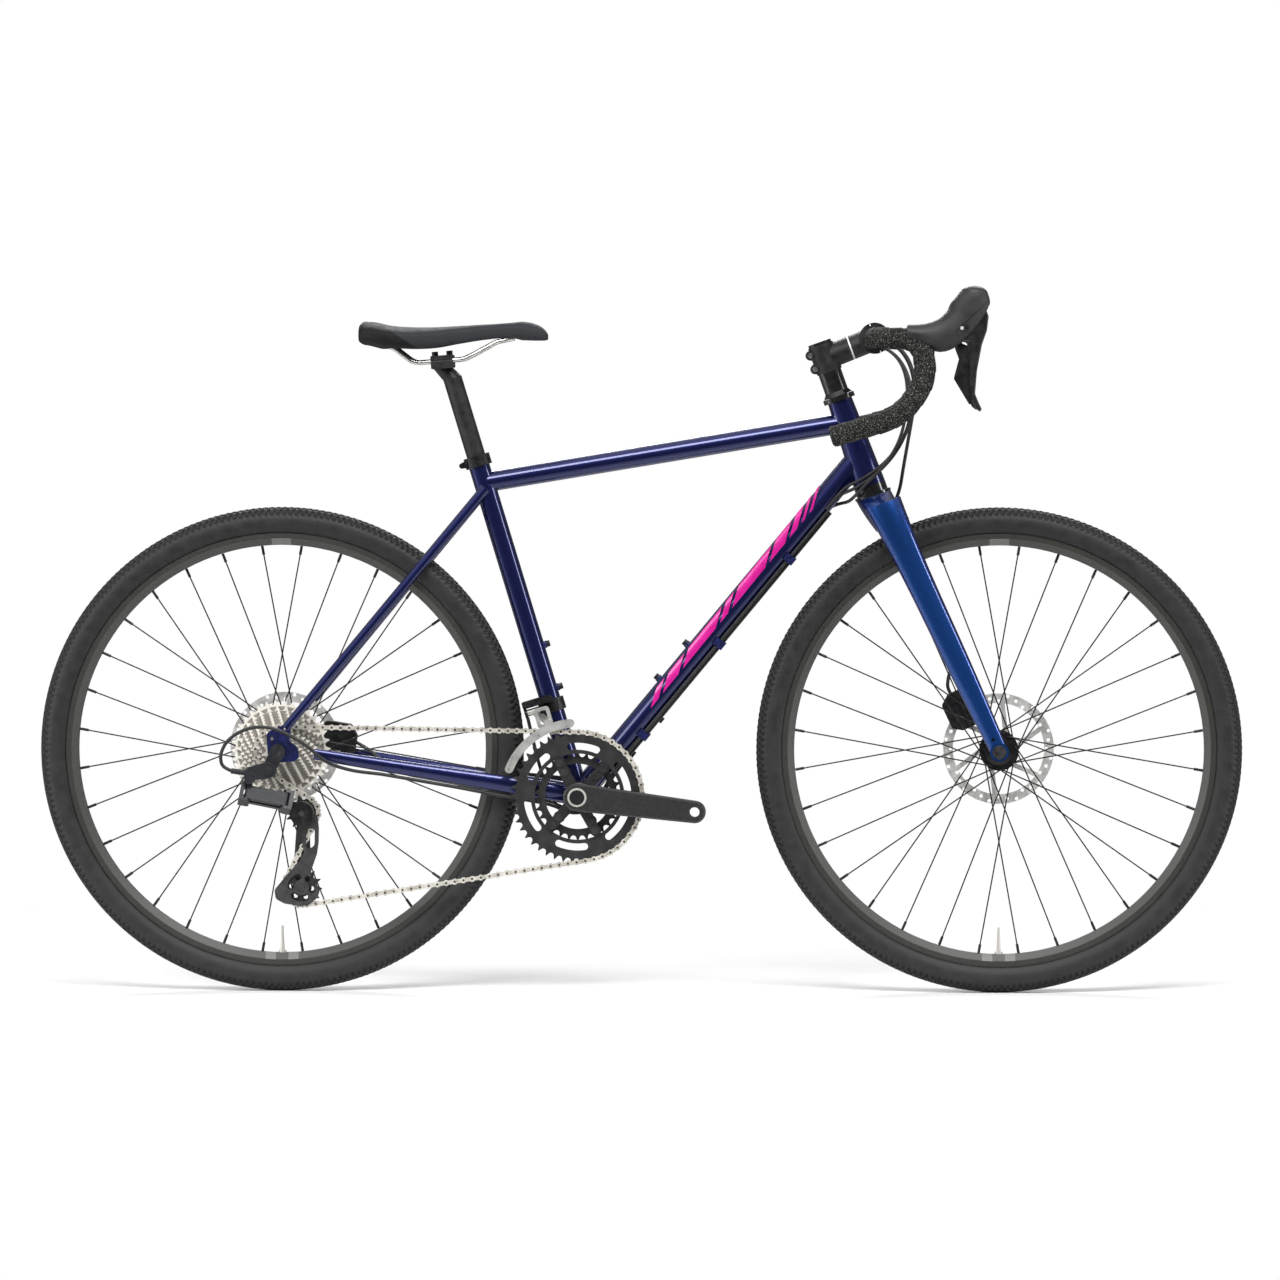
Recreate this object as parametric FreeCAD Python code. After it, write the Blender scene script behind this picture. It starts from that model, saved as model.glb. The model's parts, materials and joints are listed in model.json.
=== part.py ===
import FreeCAD, Part
import math
import os

# A drop-bar gravel bike: steel main frame, straight-legged fork, disc brakes, two chainrings and eleven
# cogs. +X is forward, +Y is the rider's left, +Z is up. The origin lies on the ground, midway between the
# two axles, on the centre plane. The drive side is the right side, at negative Y.

# Driving dimensions, in millimetres and degrees
wheelbase = 1035.0
tyre_radius = 350.0
tyre_width = 40.0
chainstay_length = 434.5
bottom_bracket_drop = 65.5
seat_angle = 73.1
head_angle = 70.5
fork_rake = 48.5
fork_height = 406.0
head_tube_length = 129.0
seat_tube_length = 508.0
top_tube_up_seat_tube = 471.0
top_tube_above_crown = 111.9
down_tube_above_crown = 59.4
rear_spacing = 142.0
front_spacing = 100.0
stem_reach = 77.2
stem_rise = 3.3
crank_length = 170.0
crank_angle = -7.0
chain_pitch = 12.7
chain_line = 50.9
saddle_length = 271.0
overrun = 2.0
running_gap = 0.08
side_gap = 0.4

# Counts
big_ring_teeth = 46
small_ring_teeth = 30
cog_teeth = (11, 13, 15, 17, 19, 21, 23, 25, 27, 30, 34)
chain_cog = 3
guide_teeth = 11
tension_teeth = 13
spokes_per_flange = 16
spoke_crosses = 3
left = 1
right = -1


# Basic shapes
def vec(x, y, z):
    return FreeCAD.Vector(x, y, z)


def unit(v):
    return v * (1.0 / v.Length)


def turned(degrees):
    """Direction in the side view at an angle above forward."""
    return vec(math.cos(math.radians(degrees)), 0, math.sin(math.radians(degrees)))


def sideways(point, y):
    """The same place in the side view, moved to a distance y from the centre plane."""
    return vec(point.x, y, point.z)


def rod(start, end, radius):
    return Part.makeCylinder(radius, (end - start).Length, start, end - start)


def cone(start, end, start_radius, end_radius):
    return Part.makeCone(start_radius, end_radius, (end - start).Length, start, end - start)


def pipe(start, end, outer, inner):
    beyond = unit(end - start) * overrun
    return rod(start, end, outer).cut(rod(start - beyond, end + beyond, inner))


def disc(point, radius, y_from, y_to):
    """Cylinder along Y about a place in the side view."""
    return rod(sideways(point, y_from), sideways(point, y_to), radius)


def drilled(shape, point, radius, y_from, y_to):
    low = min(y_from, y_to) - overrun
    high = max(y_from, y_to) + overrun
    return shape.cut(disc(point, radius, low, high))


def ring(point, outer, inner, y_from, y_to):
    return drilled(disc(point, outer, y_from, y_to), point, inner, y_from, y_to)


def mirrored(shape):
    return shape.mirror(vec(0, 0, 0), vec(0, 1, 0))


def fused(shapes):
    return shapes[0].multiFuse(shapes[1:]).removeSplitter()


def oval(centre, across, along, half_across, half_along):
    """Ellipse as a wire, always starting on the same side so that lofts don't twist."""
    normal = across.cross(along)
    stretch = FreeCAD.Matrix(
        across.x * half_across, along.x * half_along, normal.x, centre.x,
        across.y * half_across, along.y * half_along, normal.y, centre.y,
        across.z * half_across, along.z * half_along, normal.z, centre.z,
        0, 0, 0, 1)
    return Part.Wire([Part.makeCircle(1).transformGeometry(stretch)])


def loft(wires):
    return Part.makeLoft(wires, True, False)


def smoothed(rows, steps):
    """More rows between the given ones, along a smooth curve through them."""
    result = []
    last = len(rows) - 1
    for k in range(last):
        near = [rows[max(k - 1, 0)], rows[k], rows[k + 1], rows[min(k + 2, last)]]
        for step in range(steps):
            t = step / steps
            result.append(tuple(
                b + 0.5 * t * (c - a + t * (2 * a - 5 * b + 4 * c - d + t * (3 * (b - c) + d - a)))
                for a, b, c, d in zip(*near)))
    return result + [rows[last]]


def ruled_loft(wires):
    return Part.makeLoft(wires, True, True)


run_share = 0.45


def rounded_corner(before, corner, after, radius):
    """Start, middle and end of the arc that rounds a corner, kept shorter than the runs beside it."""
    back = unit(before - corner)
    ahead = unit(after - corner)
    half = back.getAngle(ahead) / 2.0
    shorter = min((before - corner).Length, (after - corner).Length)
    reach = min(radius / math.tan(half), run_share * shorter)
    fitted = reach * math.tan(half)
    middle = unit(back + ahead) * (fitted / math.sin(half) - fitted)
    return corner + back * reach, corner + middle, corner + ahead * reach


def path_wire(points, radius):
    """Open wire of straight runs joined by tangent arcs."""
    edges = []
    here = points[0]
    for k in range(1, len(points) - 1):
        first, middle, last = rounded_corner(points[k - 1], points[k], points[k + 1], radius)
        edges.append(Part.LineSegment(here, first).toShape())
        edges.append(Part.Arc(first, middle, last).toShape())
        here = last
    edges.append(Part.LineSegment(here, points[-1]).toShape())
    return Part.Wire(edges)


def outline(points, radius):
    """Closed wire with every corner rounded."""
    count = len(points)
    corners = [rounded_corner(points[k - 1], points[k], points[(k + 1) % count], radius)
               for k in range(count)]
    edges = []
    for k in range(count):
        edges.append(Part.Arc(*corners[k]).toShape())
        edges.append(Part.LineSegment(corners[k][2], corners[(k + 1) % count][0]).toShape())
    return Part.Wire(edges)


def slab(points, radius, y_from, y_to):
    """Plate of constant thickness across Y, its outline drawn in the side view."""
    wire = outline([sideways(p, y_from) for p in points], radius)
    return Part.Face(wire).extrude(vec(0, y_to - y_from, 0))


def capsule(a, a_radius, b, b_radius, y_from, y_to):
    """Plate round two eyes of different size, with straight sides that touch both."""
    way = b - a
    heading = math.degrees(math.atan2(way.z, way.x))
    lean = math.degrees(math.acos((a_radius - b_radius) / way.Length))

    def at(centre, radius, angle):
        return sideways(centre + turned(heading + angle) * radius, y_from)

    near_up, near_low = at(a, a_radius, lean), at(a, a_radius, -lean)
    far_up, far_low = at(b, b_radius, lean), at(b, b_radius, -lean)
    edges = [Part.Arc(near_up, at(a, a_radius, 180), near_low).toShape(),
             Part.LineSegment(near_low, far_low).toShape(),
             Part.Arc(far_low, at(b, b_radius, 0), far_up).toShape(),
             Part.LineSegment(far_up, near_up).toShape()]
    return Part.Face(Part.Wire(edges)).extrude(vec(0, y_to - y_from, 0))


def placed_shares(origin, x_way, z_way, size, shares):
    """Outline points, given as shares of one size along two directions."""
    return [origin + x_way * (a * size) + z_way * (b * size) for a, b in shares]


def swept(points, bend, radius):
    """Round bar along straight runs and tangent arcs."""
    wire = path_wire(points, bend)
    section = Part.Wire([Part.makeCircle(radius, points[0], points[1] - points[0])])
    return wire.makePipeShell([section], True, False)


def revolved_about_y(profile, centre):
    """Closed profile of (radius, y) pairs turned about an axle."""
    points = [vec(centre.x + r, centre.y + y, centre.z) for r, y in profile]
    face = Part.Face(Part.makePolygon(points + points[:1]))
    return face.revolve(centre, vec(0, 1, 0), 360)


def edges_at(shape, y):
    """Edges that lie on one plane across Y."""
    flat = overrun / 1000
    return [e for e in shape.Edges if all(abs(v.Y - y) < flat for v in e.Vertexes)]


# Main places
rear_axle = vec(-wheelbase / 2, 0, tyre_radius)
front_axle = vec(wheelbase / 2, 0, tyre_radius)
bottom_bracket = rear_axle + vec(math.sqrt(chainstay_length ** 2 - bottom_bracket_drop ** 2), 0,
                                 -bottom_bracket_drop)
seat_up = turned(180 - seat_angle)
seat_back = vec(-seat_up.z, 0, seat_up.x)
steer_up = turned(180 - head_angle)
steer_ahead = turned(90 - head_angle)
steer_foot = front_axle - steer_ahead * fork_rake


def on_steerer(height, ahead=0.0, side=0.0):
    """Place given from the axle's foot on the steering axis: up it, ahead of it and beside it."""
    return steer_foot + steer_up * height + steer_ahead * ahead + vec(0, side, 0)


# Headset stack, from the crown up
crown_race_height = 3.5
lower_cup_height = 12.1
upper_cup_height = 7.0
cover_height = 6.6
spacer_height = 10.0
spacer_count = 3
stem_clamp_height = 41.0
top_cap_height = 4.0
race_top = fork_height + crown_race_height
lower_cup_from = race_top + side_gap
head_tube_from = lower_cup_from + lower_cup_height
head_tube_to = head_tube_from + head_tube_length
upper_cup_to = head_tube_to + upper_cup_height
cover_from = upper_cup_to + side_gap
spacers_from = cover_from + cover_height
stem_from = spacers_from + spacer_count * spacer_height
stem_to = stem_from + stem_clamp_height

# Main tubes of the frame
head_tube_top_radius = 18.0
head_tube_bottom_radius = 23.2
head_tube_bore = 16.0
top_tube_radius = 14.6
down_tube_radius = 17.3
seat_tube_radius = 15.2
seatpost_radius = 13.6
tube_wall = 1.2
shell_radius = 20.5
shell_bore = 17.3
shell_width = 68.0
steerer_radius = 14.3
seat_top = bottom_bracket + seat_up * seat_tube_length
top_tube_seat_end = bottom_bracket + seat_up * top_tube_up_seat_tube
top_tube_head_end = on_steerer(fork_height + top_tube_above_crown)
down_tube_head_end = on_steerer(fork_height + down_tube_above_crown)
seat_tube_block = rod(bottom_bracket, seat_top, seat_tube_radius)
head_tube_block = cone(on_steerer(head_tube_from), on_steerer(head_tube_to),
                       head_tube_bottom_radius, head_tube_top_radius)
shell_block = disc(bottom_bracket, shell_radius, -shell_width / 2, shell_width / 2)


def head_tube():
    bore = rod(on_steerer(head_tube_from - overrun), on_steerer(head_tube_to + overrun), head_tube_bore)
    return head_tube_block.cut(bore)


def top_tube():
    tube = pipe(top_tube_seat_end, top_tube_head_end, top_tube_radius, top_tube_radius - tube_wall)
    return tube.cut(seat_tube_block).cut(head_tube_block)


def down_tube():
    tube = pipe(bottom_bracket, down_tube_head_end, down_tube_radius, down_tube_radius - tube_wall)
    return tube.cut(seat_tube_block).cut(head_tube_block).cut(shell_block)


def seat_tube():
    bore = rod(bottom_bracket, seat_top + seat_up * overrun, seatpost_radius + running_gap)
    return seat_tube_block.cut(bore).cut(shell_block)


def bottom_bracket_shell():
    return ring(bottom_bracket, shell_radius, shell_bore, -shell_width / 2, shell_width / 2)


# Rear stays and dropouts
dropout_thickness = 8.0
dropout_size = 30.0
dropout_outline_shares = ((-0.55, 0.82), (-0.36, 1.0), (0.36, 1.3), (0.62, 1.18), (0.56, 0.5),
                          (0.95, 0.2), (1.02, -0.3), (0.74, -0.48), (0.0, -0.52), (-0.45, -0.45))
dropout_corner = 5.0
axle_radius = 6.0
eyelet_radius = 2.5
upper_eyelet_shares = (0.36, 1.1)
lower_eyelet_shares = (-0.28, 0.62)
chainstay_width = 18.0
chainstay_height = 27.0
# Each row: along the stay, its spread, its width and its height
chainstay_shares = ((0.02, 0.32, 1.0, 1.0), (0.20, 0.447, 0.733, 0.93), (0.45, 0.62, 0.755, 0.82),
                    (0.75, 0.867, 0.69, 0.70), (0.945, 1.0, 0.44, 0.59))
seatstay_up_seat_tube = 462.0
seatstay_top_spread = 13.0
seatstay_top_radius = 7.6
seatstay_end_radius = 6.6
stay_plane = rear_spacing / 2 + dropout_thickness / 2
bridge_radius = 6.0
bridge_share = 0.16
chainstay_end = rear_axle + vec(dropout_size, 0, 0)
seatstay_foot = rear_axle + vec(dropout_size * upper_eyelet_shares[0], 0,
                                dropout_size * upper_eyelet_shares[1])


def dropout(side):
    inner = side * rear_spacing / 2
    outer = inner + side * dropout_thickness
    points = placed_shares(rear_axle, vec(1, 0, 0), vec(0, 0, 1), dropout_size, dropout_outline_shares)
    plate = slab(points, dropout_corner, inner, outer)
    plate = drilled(plate, rear_axle, axle_radius + running_gap, inner, outer)
    for a, b in (upper_eyelet_shares, lower_eyelet_shares):
        hole = rear_axle + vec(a * dropout_size, 0, b * dropout_size)
        plate = drilled(plate, hole, eyelet_radius, inner, outer)
    return plate


def dropout_block(side):
    inner = side * rear_spacing / 2
    points = placed_shares(rear_axle, vec(1, 0, 0), vec(0, 0, 1), dropout_size, dropout_outline_shares)
    return slab(points, dropout_corner, inner, inner + side * dropout_thickness)


def chainstay(side):
    along = unit(chainstay_end - bottom_bracket)
    upright = vec(along.z, 0, -along.x)
    wires = []
    for along_share, spread, wide, high in chainstay_shares:
        centre = bottom_bracket + (chainstay_end - bottom_bracket) * along_share
        wires.append(oval(sideways(centre, side * spread * stay_plane), vec(0, 1, 0), upright,
                          wide * chainstay_width / 2, high * chainstay_height / 2))
    return loft(wires).cut(shell_block).cut(dropout_block(side)).cut(seat_tube_block)


def chainstays():
    return Part.makeCompound([chainstay(left), chainstay(right)])


def seatstay_line(side):
    top = sideways(bottom_bracket + seat_up * seatstay_up_seat_tube, side * seatstay_top_spread)
    return top, sideways(seatstay_foot, side * stay_plane)


def seatstay(side):
    top, foot = seatstay_line(side)
    stay = cone(top, foot, seatstay_top_radius, seatstay_end_radius)
    return stay.cut(seat_tube_block).cut(dropout_block(side))


def seatstays():
    return Part.makeCompound([seatstay(left), seatstay(right)])


# Small frame fittings: dropouts, stay bridge, bottle bosses and cable guides
boss_radius = 5.5
boss_height = 3.0
boss_spacing = 64.0
seat_boss_up = 158.0
down_boss_upper = 203.0
down_boss_lower = 95.0
boss_bolt_radius = 2.4
boss_bolt_head = 4.6
boss_bolt_head_height = 5.0
cable_radius = 2.5
cable_stand_off = 4.0
guide_block_length = 12.0
guide_block_width = 38.0
guide_block_height = 7.0
guide_place_shares = (0.2, 0.47, 0.72)
down_along = unit(down_tube_head_end - bottom_bracket)
down_below = vec(down_along.z, 0, -down_along.x)
seat_ahead = seat_back * -1


def boss_rows():
    """Foot and outward direction of every bottle boss."""
    rows = []
    for step in range(2):
        up = step * boss_spacing
        rows.append((bottom_bracket + seat_up * (seat_boss_up + up), seat_ahead, seat_tube_radius))
        rows.append((bottom_bracket + down_along * (down_boss_upper + up), down_below * -1,
                     down_tube_radius))
        rows.append((bottom_bracket + down_along * (down_boss_lower + up), down_below,
                     down_tube_radius))
    return rows


def boss(foot, outward, tube_radius):
    top = foot + outward * (tube_radius + boss_height)
    body = rod(foot + outward * (tube_radius - tube_wall), top, boss_radius)
    body = body.cut(rod(foot, top + outward * overrun, boss_bolt_radius + running_gap))
    return body.cut(seat_tube_block).cut(rod(bottom_bracket, down_tube_head_end, down_tube_radius))


def boss_bolt(foot, outward, tube_radius):
    seat = foot + outward * (tube_radius + boss_height)
    shank = rod(seat - outward * (boss_height - running_gap), seat, boss_bolt_radius)
    head = rod(seat, seat + outward * boss_bolt_head_height, boss_bolt_head)
    return fused([shank, head])


def cable_guide(along_tube):
    """Block under the down tube that holds the three cables."""
    seat = bottom_bracket + down_along * along_tube + down_below * (down_tube_radius / 2)
    block = Part.makeBox(guide_block_length, guide_block_width, guide_block_height + down_tube_radius / 2)
    block.translate(vec(-guide_block_length / 2, -guide_block_width / 2, 0))
    block.Placement = FreeCAD.Placement(
        seat, FreeCAD.Rotation(down_along, vec(0, 1, 0), down_below, "ZXY")).multiply(block.Placement)
    block = block.cut(rod(bottom_bracket, down_tube_head_end, down_tube_radius))
    for points in down_tube_cables():
        block = block.cut(rod(points[0], points[1], cable_radius + running_gap))
    return block


def stay_bridge():
    ends = []
    for side in (left, right):
        top, foot = seatstay_line(side)
        ends.append(top + (foot - top) * bridge_share)
    bar = rod(ends[0], ends[1], bridge_radius)
    return bar.cut(seatstay_block(left)).cut(seatstay_block(right))


def seatstay_block(side):
    top, foot = seatstay_line(side)
    return cone(top, foot, seatstay_top_radius, seatstay_end_radius)


def frame_fittings():
    pieces = [dropout(left), dropout(right), stay_bridge()]
    pieces += [boss(*row) for row in boss_rows()]
    down_length = (down_tube_head_end - bottom_bracket).Length
    pieces += [cable_guide(share * down_length) for share in guide_place_shares]
    return Part.makeCompound(pieces)


def frame_bolts():
    return Part.makeCompound([boss_bolt(*row) for row in boss_rows()])


# Cables held on the frame: rear brake hose, rear shift housing, front shift housing
hose_row = 9.0
rear_shift_row = -9.0
front_shift_row = -14.8
cable_head_end = 545.0
cable_foot_end = 62.0


def cable_depth(y):
    """Depth below the down tube's axis of a cable lying at a side offset."""
    return math.sqrt((down_tube_radius + cable_stand_off) ** 2 - y ** 2)


def cable_point(along_tube, y, depth):
    return sideways(bottom_bracket + down_along * along_tube + down_below * depth, y)


def down_tube_cables():
    """Ends of the three straight runs under the down tube: hose, rear shift, front shift."""
    return [(cable_point(cable_head_end, y, cable_depth(y)), cable_point(cable_foot_end, y, cable_depth(y)))
            for y in (hose_row, rear_shift_row, front_shift_row)]


# Wheels: knobby tyre on a channel rim, crossed spokes, a flanged hub and a disc rotor
bead_radius = 312.5
casing_wall = 2.6
rim_edge_radius = 317.0
rim_inner_radius = 295.0
rim_half_width = 12.5
rim_wall = 2.0
rim_shoulder_radius = 304.0
rim_bed_half_width = 6.5
tread_half_width = 14.0
tread_drop = 4.5
spoke_radius = 1.0
nipple_radius = 2.0
nipple_length = 13.0
flange_radius = 28.0
flange_thickness = 3.0
spoke_circle_radius = 24.0
spoke_hole_gap = 0.3
spoke_elbow = 1.6
flange_root_radius = 20.0
spoke_rim_offset = 3.0
hub_body_radius = 14.0
hub_tube_radius = 8.5
hub_end_radius = 12.0
rotor_seat_radius = 17.0
rotor_radius = 80.0
rotor_thickness = 1.8
rotor_band = 14.0
rotor_arms = 6
rotor_arm_width = 7.0
rotor_arm_sweep = 26.0
rotor_carrier_radius = 25.0
rotor_hole_radius = 2.6
rotor_holes = 36
rotor_lock_radius = 21.0
rotor_lock_height = 3.0
valve_radius = 3.0
valve_length = 39.0
valve_nut_radius = 5.5
valve_nut_height = 4.0
front_rotor_y = 39.5
rear_rotor_y = 55.7
front_left_flange = 22.0
front_right_flange = 33.0
rear_left_flange = 32.0
rear_right_flange = 17.5
axle_head_radius = 10.0
axle_head_height = 4.0
end_cap_radius = 11.0
end_cap_width = 3.0
cassette_side = 23.2
front_hub_end = front_spacing / 2 - end_cap_width - side_gap
rear_hub_end = rear_spacing / 2 - end_cap_width - side_gap
front_flanges = (front_left_flange, -front_right_flange)
rear_flanges = (rear_left_flange, -rear_right_flange)
front_hub_ends = (front_hub_end, -front_hub_end)
rear_hub_ends = (rear_hub_end, -cassette_side)


def tyre(axle):
    """Open-bottomed casing with a squared tread, turned about the axle."""
    half = tyre_width / 2
    bead = bead_half_width()
    shoulder = tyre_radius - tread_drop
    seat = rim_edge_radius + side_gap
    widest = (seat + shoulder) / 2
    heel = vec(bead_radius, bead, 0)
    toe = vec(bead_radius, bead - casing_wall, 0)
    outer = [vec(seat, bead, 0), vec(widest, half, 0), vec(shoulder, tread_half_width, 0)]
    inner = [vec(p.x - casing_wall * way, p.y - casing_wall, 0)
             for p, way in zip(outer, (0.0, 0.0, 1.0))]
    crown_outer = vec(tyre_radius, 0, 0)
    crown_inner = vec(tyre_radius - casing_wall - tread_drop / 2, 0, 0)

    def flip(p):
        return vec(p.x, -p.y, 0)

    edges = [
        Part.Arc(outer[0], outer[1], outer[2]).toShape(),
        Part.Arc(outer[2], crown_outer, flip(outer[2])).toShape(),
        Part.Arc(flip(outer[2]), flip(outer[1]), flip(outer[0])).toShape(),
        Part.LineSegment(flip(outer[0]), flip(heel)).toShape(),
        Part.LineSegment(flip(heel), flip(toe)).toShape(),
        Part.LineSegment(flip(toe), flip(inner[0])).toShape(),
        Part.Arc(flip(inner[0]), flip(inner[1]), flip(inner[2])).toShape(),
        Part.Arc(flip(inner[2]), crown_inner, inner[2]).toShape(),
        Part.Arc(inner[2], inner[1], inner[0]).toShape(),
        Part.LineSegment(inner[0], toe).toShape(),
        Part.LineSegment(toe, heel).toShape(),
        Part.LineSegment(heel, outer[0]).toShape(),
    ]
    face = Part.Face(Part.Wire(edges))
    face.translate(axle)
    return face.revolve(axle, vec(0, 1, 0), 360)


def bead_half_width():
    return rim_half_width - rim_wall - running_gap


def rim_block(axle):
    """Channel rim that is open towards the tyre."""
    bed = rim_inner_radius + rim_wall
    profile = [
        (rim_edge_radius, rim_half_width), (rim_shoulder_radius, rim_half_width),
        (rim_inner_radius, rim_bed_half_width), (rim_inner_radius, -rim_bed_half_width),
        (rim_shoulder_radius, -rim_half_width), (rim_edge_radius, -rim_half_width),
        (rim_edge_radius, rim_wall - rim_half_width), (rim_shoulder_radius, rim_wall - rim_half_width),
        (bed, -rim_bed_half_width), (bed, rim_bed_half_width),
        (rim_shoulder_radius, rim_half_width - rim_wall), (rim_edge_radius, rim_half_width - rim_wall),
    ]
    return revolved_about_y(profile, axle)


def rim(axle):
    """Rim with its valve at the bottom, clamped by a knurled nut."""
    down = vec(0, 0, -1)
    bed = axle + down * (rim_inner_radius + rim_wall)
    tip = axle + down * (rim_inner_radius - valve_length)
    hole = rod(bed + down * overrun, tip, valve_radius + running_gap)
    nut_to = axle + down * (rim_inner_radius - valve_nut_height)
    nut = pipe(axle + down * rim_inner_radius, nut_to, valve_nut_radius, valve_radius + running_gap)
    stem = rod(bed + down * overrun, nut_to, valve_radius)
    tail = cone(nut_to, tip, valve_radius, valve_radius / 2)
    return Part.makeCompound([rim_block(axle).cut(hole), nut, fused([stem, tail])])


def hub_point(axle, angle, radius, y):
    return sideways(axle + turned(angle) * radius, y)


def spoke(axle, flange_y, index, start):
    """One spoke: head, elbow through the flange, straight run and nipple."""
    step = 360.0 / spokes_per_flange
    way = 1 if index % 2 == 0 else -1
    outward = math.copysign(1, flange_y) * way
    hole_angle = start + index * step
    rim_angle = hole_angle - way * spoke_crosses * step
    reach = flange_thickness / 2 + spoke_elbow + spoke_hole_gap
    head = hub_point(axle, hole_angle, spoke_circle_radius, flange_y - outward * reach)
    elbow = hub_point(axle, hole_angle, spoke_circle_radius, flange_y + outward * reach)
    rim_y = math.copysign(spoke_rim_offset, flange_y)
    end = hub_point(axle, rim_angle, rim_inner_radius - spoke_hole_gap, rim_y)
    back = unit(elbow - end)
    bar = swept([head, elbow, end], spoke_elbow, spoke_radius)
    nipple = rod(end + back * nipple_length, end, nipple_radius)
    return bar.fuse(nipple)


def spokes(axle, flanges):
    step = 360.0 / spokes_per_flange
    pieces = []
    for row, flange_y in enumerate(flanges):
        start = 270 + step / 4 + row * step / 2
        pieces += [spoke(axle, flange_y, k, start) for k in range(spokes_per_flange)]
    return Part.makeCompound(pieces)


def hub(axle, flanges, ends, rotor_y):
    """Turned hub shell with a hole for each spoke and a seat for the rotor."""
    half = flange_thickness / 2
    bore = hub_tube_radius + running_gap
    seat_from = rotor_y - rotor_lock_height
    seat_to = rotor_y + rotor_thickness / 2 + rotor_lock_height
    near, far = flanges
    profile = [
        (bore, ends[0]), (hub_end_radius, ends[0]), (hub_end_radius, seat_to),
        (rotor_seat_radius, seat_to), (rotor_seat_radius, seat_from),
        (hub_body_radius, near + 2 * half), (flange_root_radius, near + half),
        (flange_radius, near + half), (flange_radius, near - half), (flange_root_radius, near - half),
        (hub_body_radius, near - 2 * half), (hub_body_radius, far + 2 * half),
        (flange_root_radius, far + half), (flange_radius, far + half), (flange_radius, far - half),
        (flange_root_radius, far - half), (hub_end_radius, far - 2 * half),
        (hub_end_radius, ends[1]), (bore, ends[1]),
    ]
    shell = revolved_about_y(profile, axle)
    step = 360.0 / spokes_per_flange
    holes = []
    for row, flange_y in enumerate(flanges):
        start = 270 + step / 4 + row * step / 2
        for k in range(spokes_per_flange):
            place = axle + turned(start + k * step) * spoke_circle_radius
            holes.append(disc(place, spoke_radius + spoke_hole_gap, flange_y - flange_thickness,
                              flange_y + flange_thickness))
    return shell.cut(Part.makeCompound(holes))


def rotor(axle, rotor_y):
    """Disc rotor: drilled braking band on swept arms, held on the hub by a lock ring."""
    low = rotor_y - rotor_thickness / 2
    high = rotor_y + rotor_thickness / 2
    band_inner = rotor_radius - rotor_band
    plate = ring(axle, rotor_radius, band_inner, low, high)
    carrier = disc(axle, rotor_carrier_radius, low, high)
    arms = []
    for k in range(rotor_arms):
        angle = k * 360.0 / rotor_arms
        foot = axle + turned(angle) * (rotor_carrier_radius - rotor_arm_width / 2)
        tip = axle + turned(angle + rotor_arm_sweep) * (band_inner + rotor_arm_width / 2)
        along = unit(tip - foot)
        across = vec(-along.z, 0, along.x) * (rotor_arm_width / 2)
        corners = [foot + across, foot - across, tip - across, tip + across]
        arms.append(slab(corners, rotor_arm_width / 3, low, high))
    plate = fused([plate, carrier] + arms)
    plate = drilled(plate, axle, rotor_seat_radius + running_gap, low, high)
    holes = []
    for k in range(rotor_holes):
        middle = rotor_radius - rotor_band / 2 + (k % 3 - 1) * rotor_band / 3.6
        place = axle + turned(k * 360.0 / rotor_holes) * middle
        holes.append(disc(place, rotor_hole_radius, low - overrun, high + overrun))
    lock = ring(axle, rotor_lock_radius, hub_end_radius + side_gap, high, high + rotor_lock_height)
    lock = lock.cut(disc(axle, rotor_seat_radius + running_gap, low, high + rotor_lock_height + overrun))
    return Part.makeCompound([plate.cut(Part.makeCompound(holes)), lock])


def thru_axle(axle, spacing, head_from, head_side, end_y):
    """Thru-axle with its head, and the hub's fixed inner tube with its two end caps."""
    head_to = head_from + head_side * axle_head_height
    bar = fused([disc(axle, axle_radius, head_from, end_y),
                 disc(axle, axle_head_radius, head_from, head_to)])
    half = spacing / 2
    caps = [disc(axle, end_cap_radius, side * (half - end_cap_width), side * half)
            for side in (left, right)]
    tube = fused([disc(axle, hub_tube_radius, -half, half)] + caps)
    return Part.makeCompound([bar, drilled(tube, axle, axle_radius + running_gap, -half, half)])


# Chain drive: every tooth gap sits on a roller of the chain
roller_radius = 3.85
tooth_gap = 0.1
tooth_height = 3.1
tooth_tip_width = 1.3
seat_half_angle = 60.0
lightening_radius = 3.2
lightening_web = 1.9
cage_length = 108.0
cage_lean = -3.0
guide_ahead = 34.0
guide_below = 89.0
guide_pulley_axle = rear_axle + vec(guide_ahead, 0, -guide_below)


def pitch_radius(teeth):
    return chain_pitch / 2 / math.sin(math.pi / teeth)


def tension_pulley_axle(lean):
    """Place of the lower pulley for a lean of the cage, forwards from straight down."""
    return guide_pulley_axle + turned(270 + lean) * cage_length


def tangent(from_wheel, to_wheel):
    """Points where the chain leaves one wheel and meets the next. Turn is 1 where it runs clockwise."""
    (a, a_radius, a_turn), (b, b_radius, b_turn) = from_wheel, to_wheel
    across = b - a
    offset = a_turn * a_radius - b_turn * b_radius
    run = math.sqrt(across.Length ** 2 - offset ** 2)
    heading = math.atan2(across.z, across.x) - math.atan2(offset, run)
    normal = vec(-math.sin(heading), 0, math.cos(heading))
    return a + normal * (a_turn * a_radius), b + normal * (b_turn * b_radius)


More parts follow.
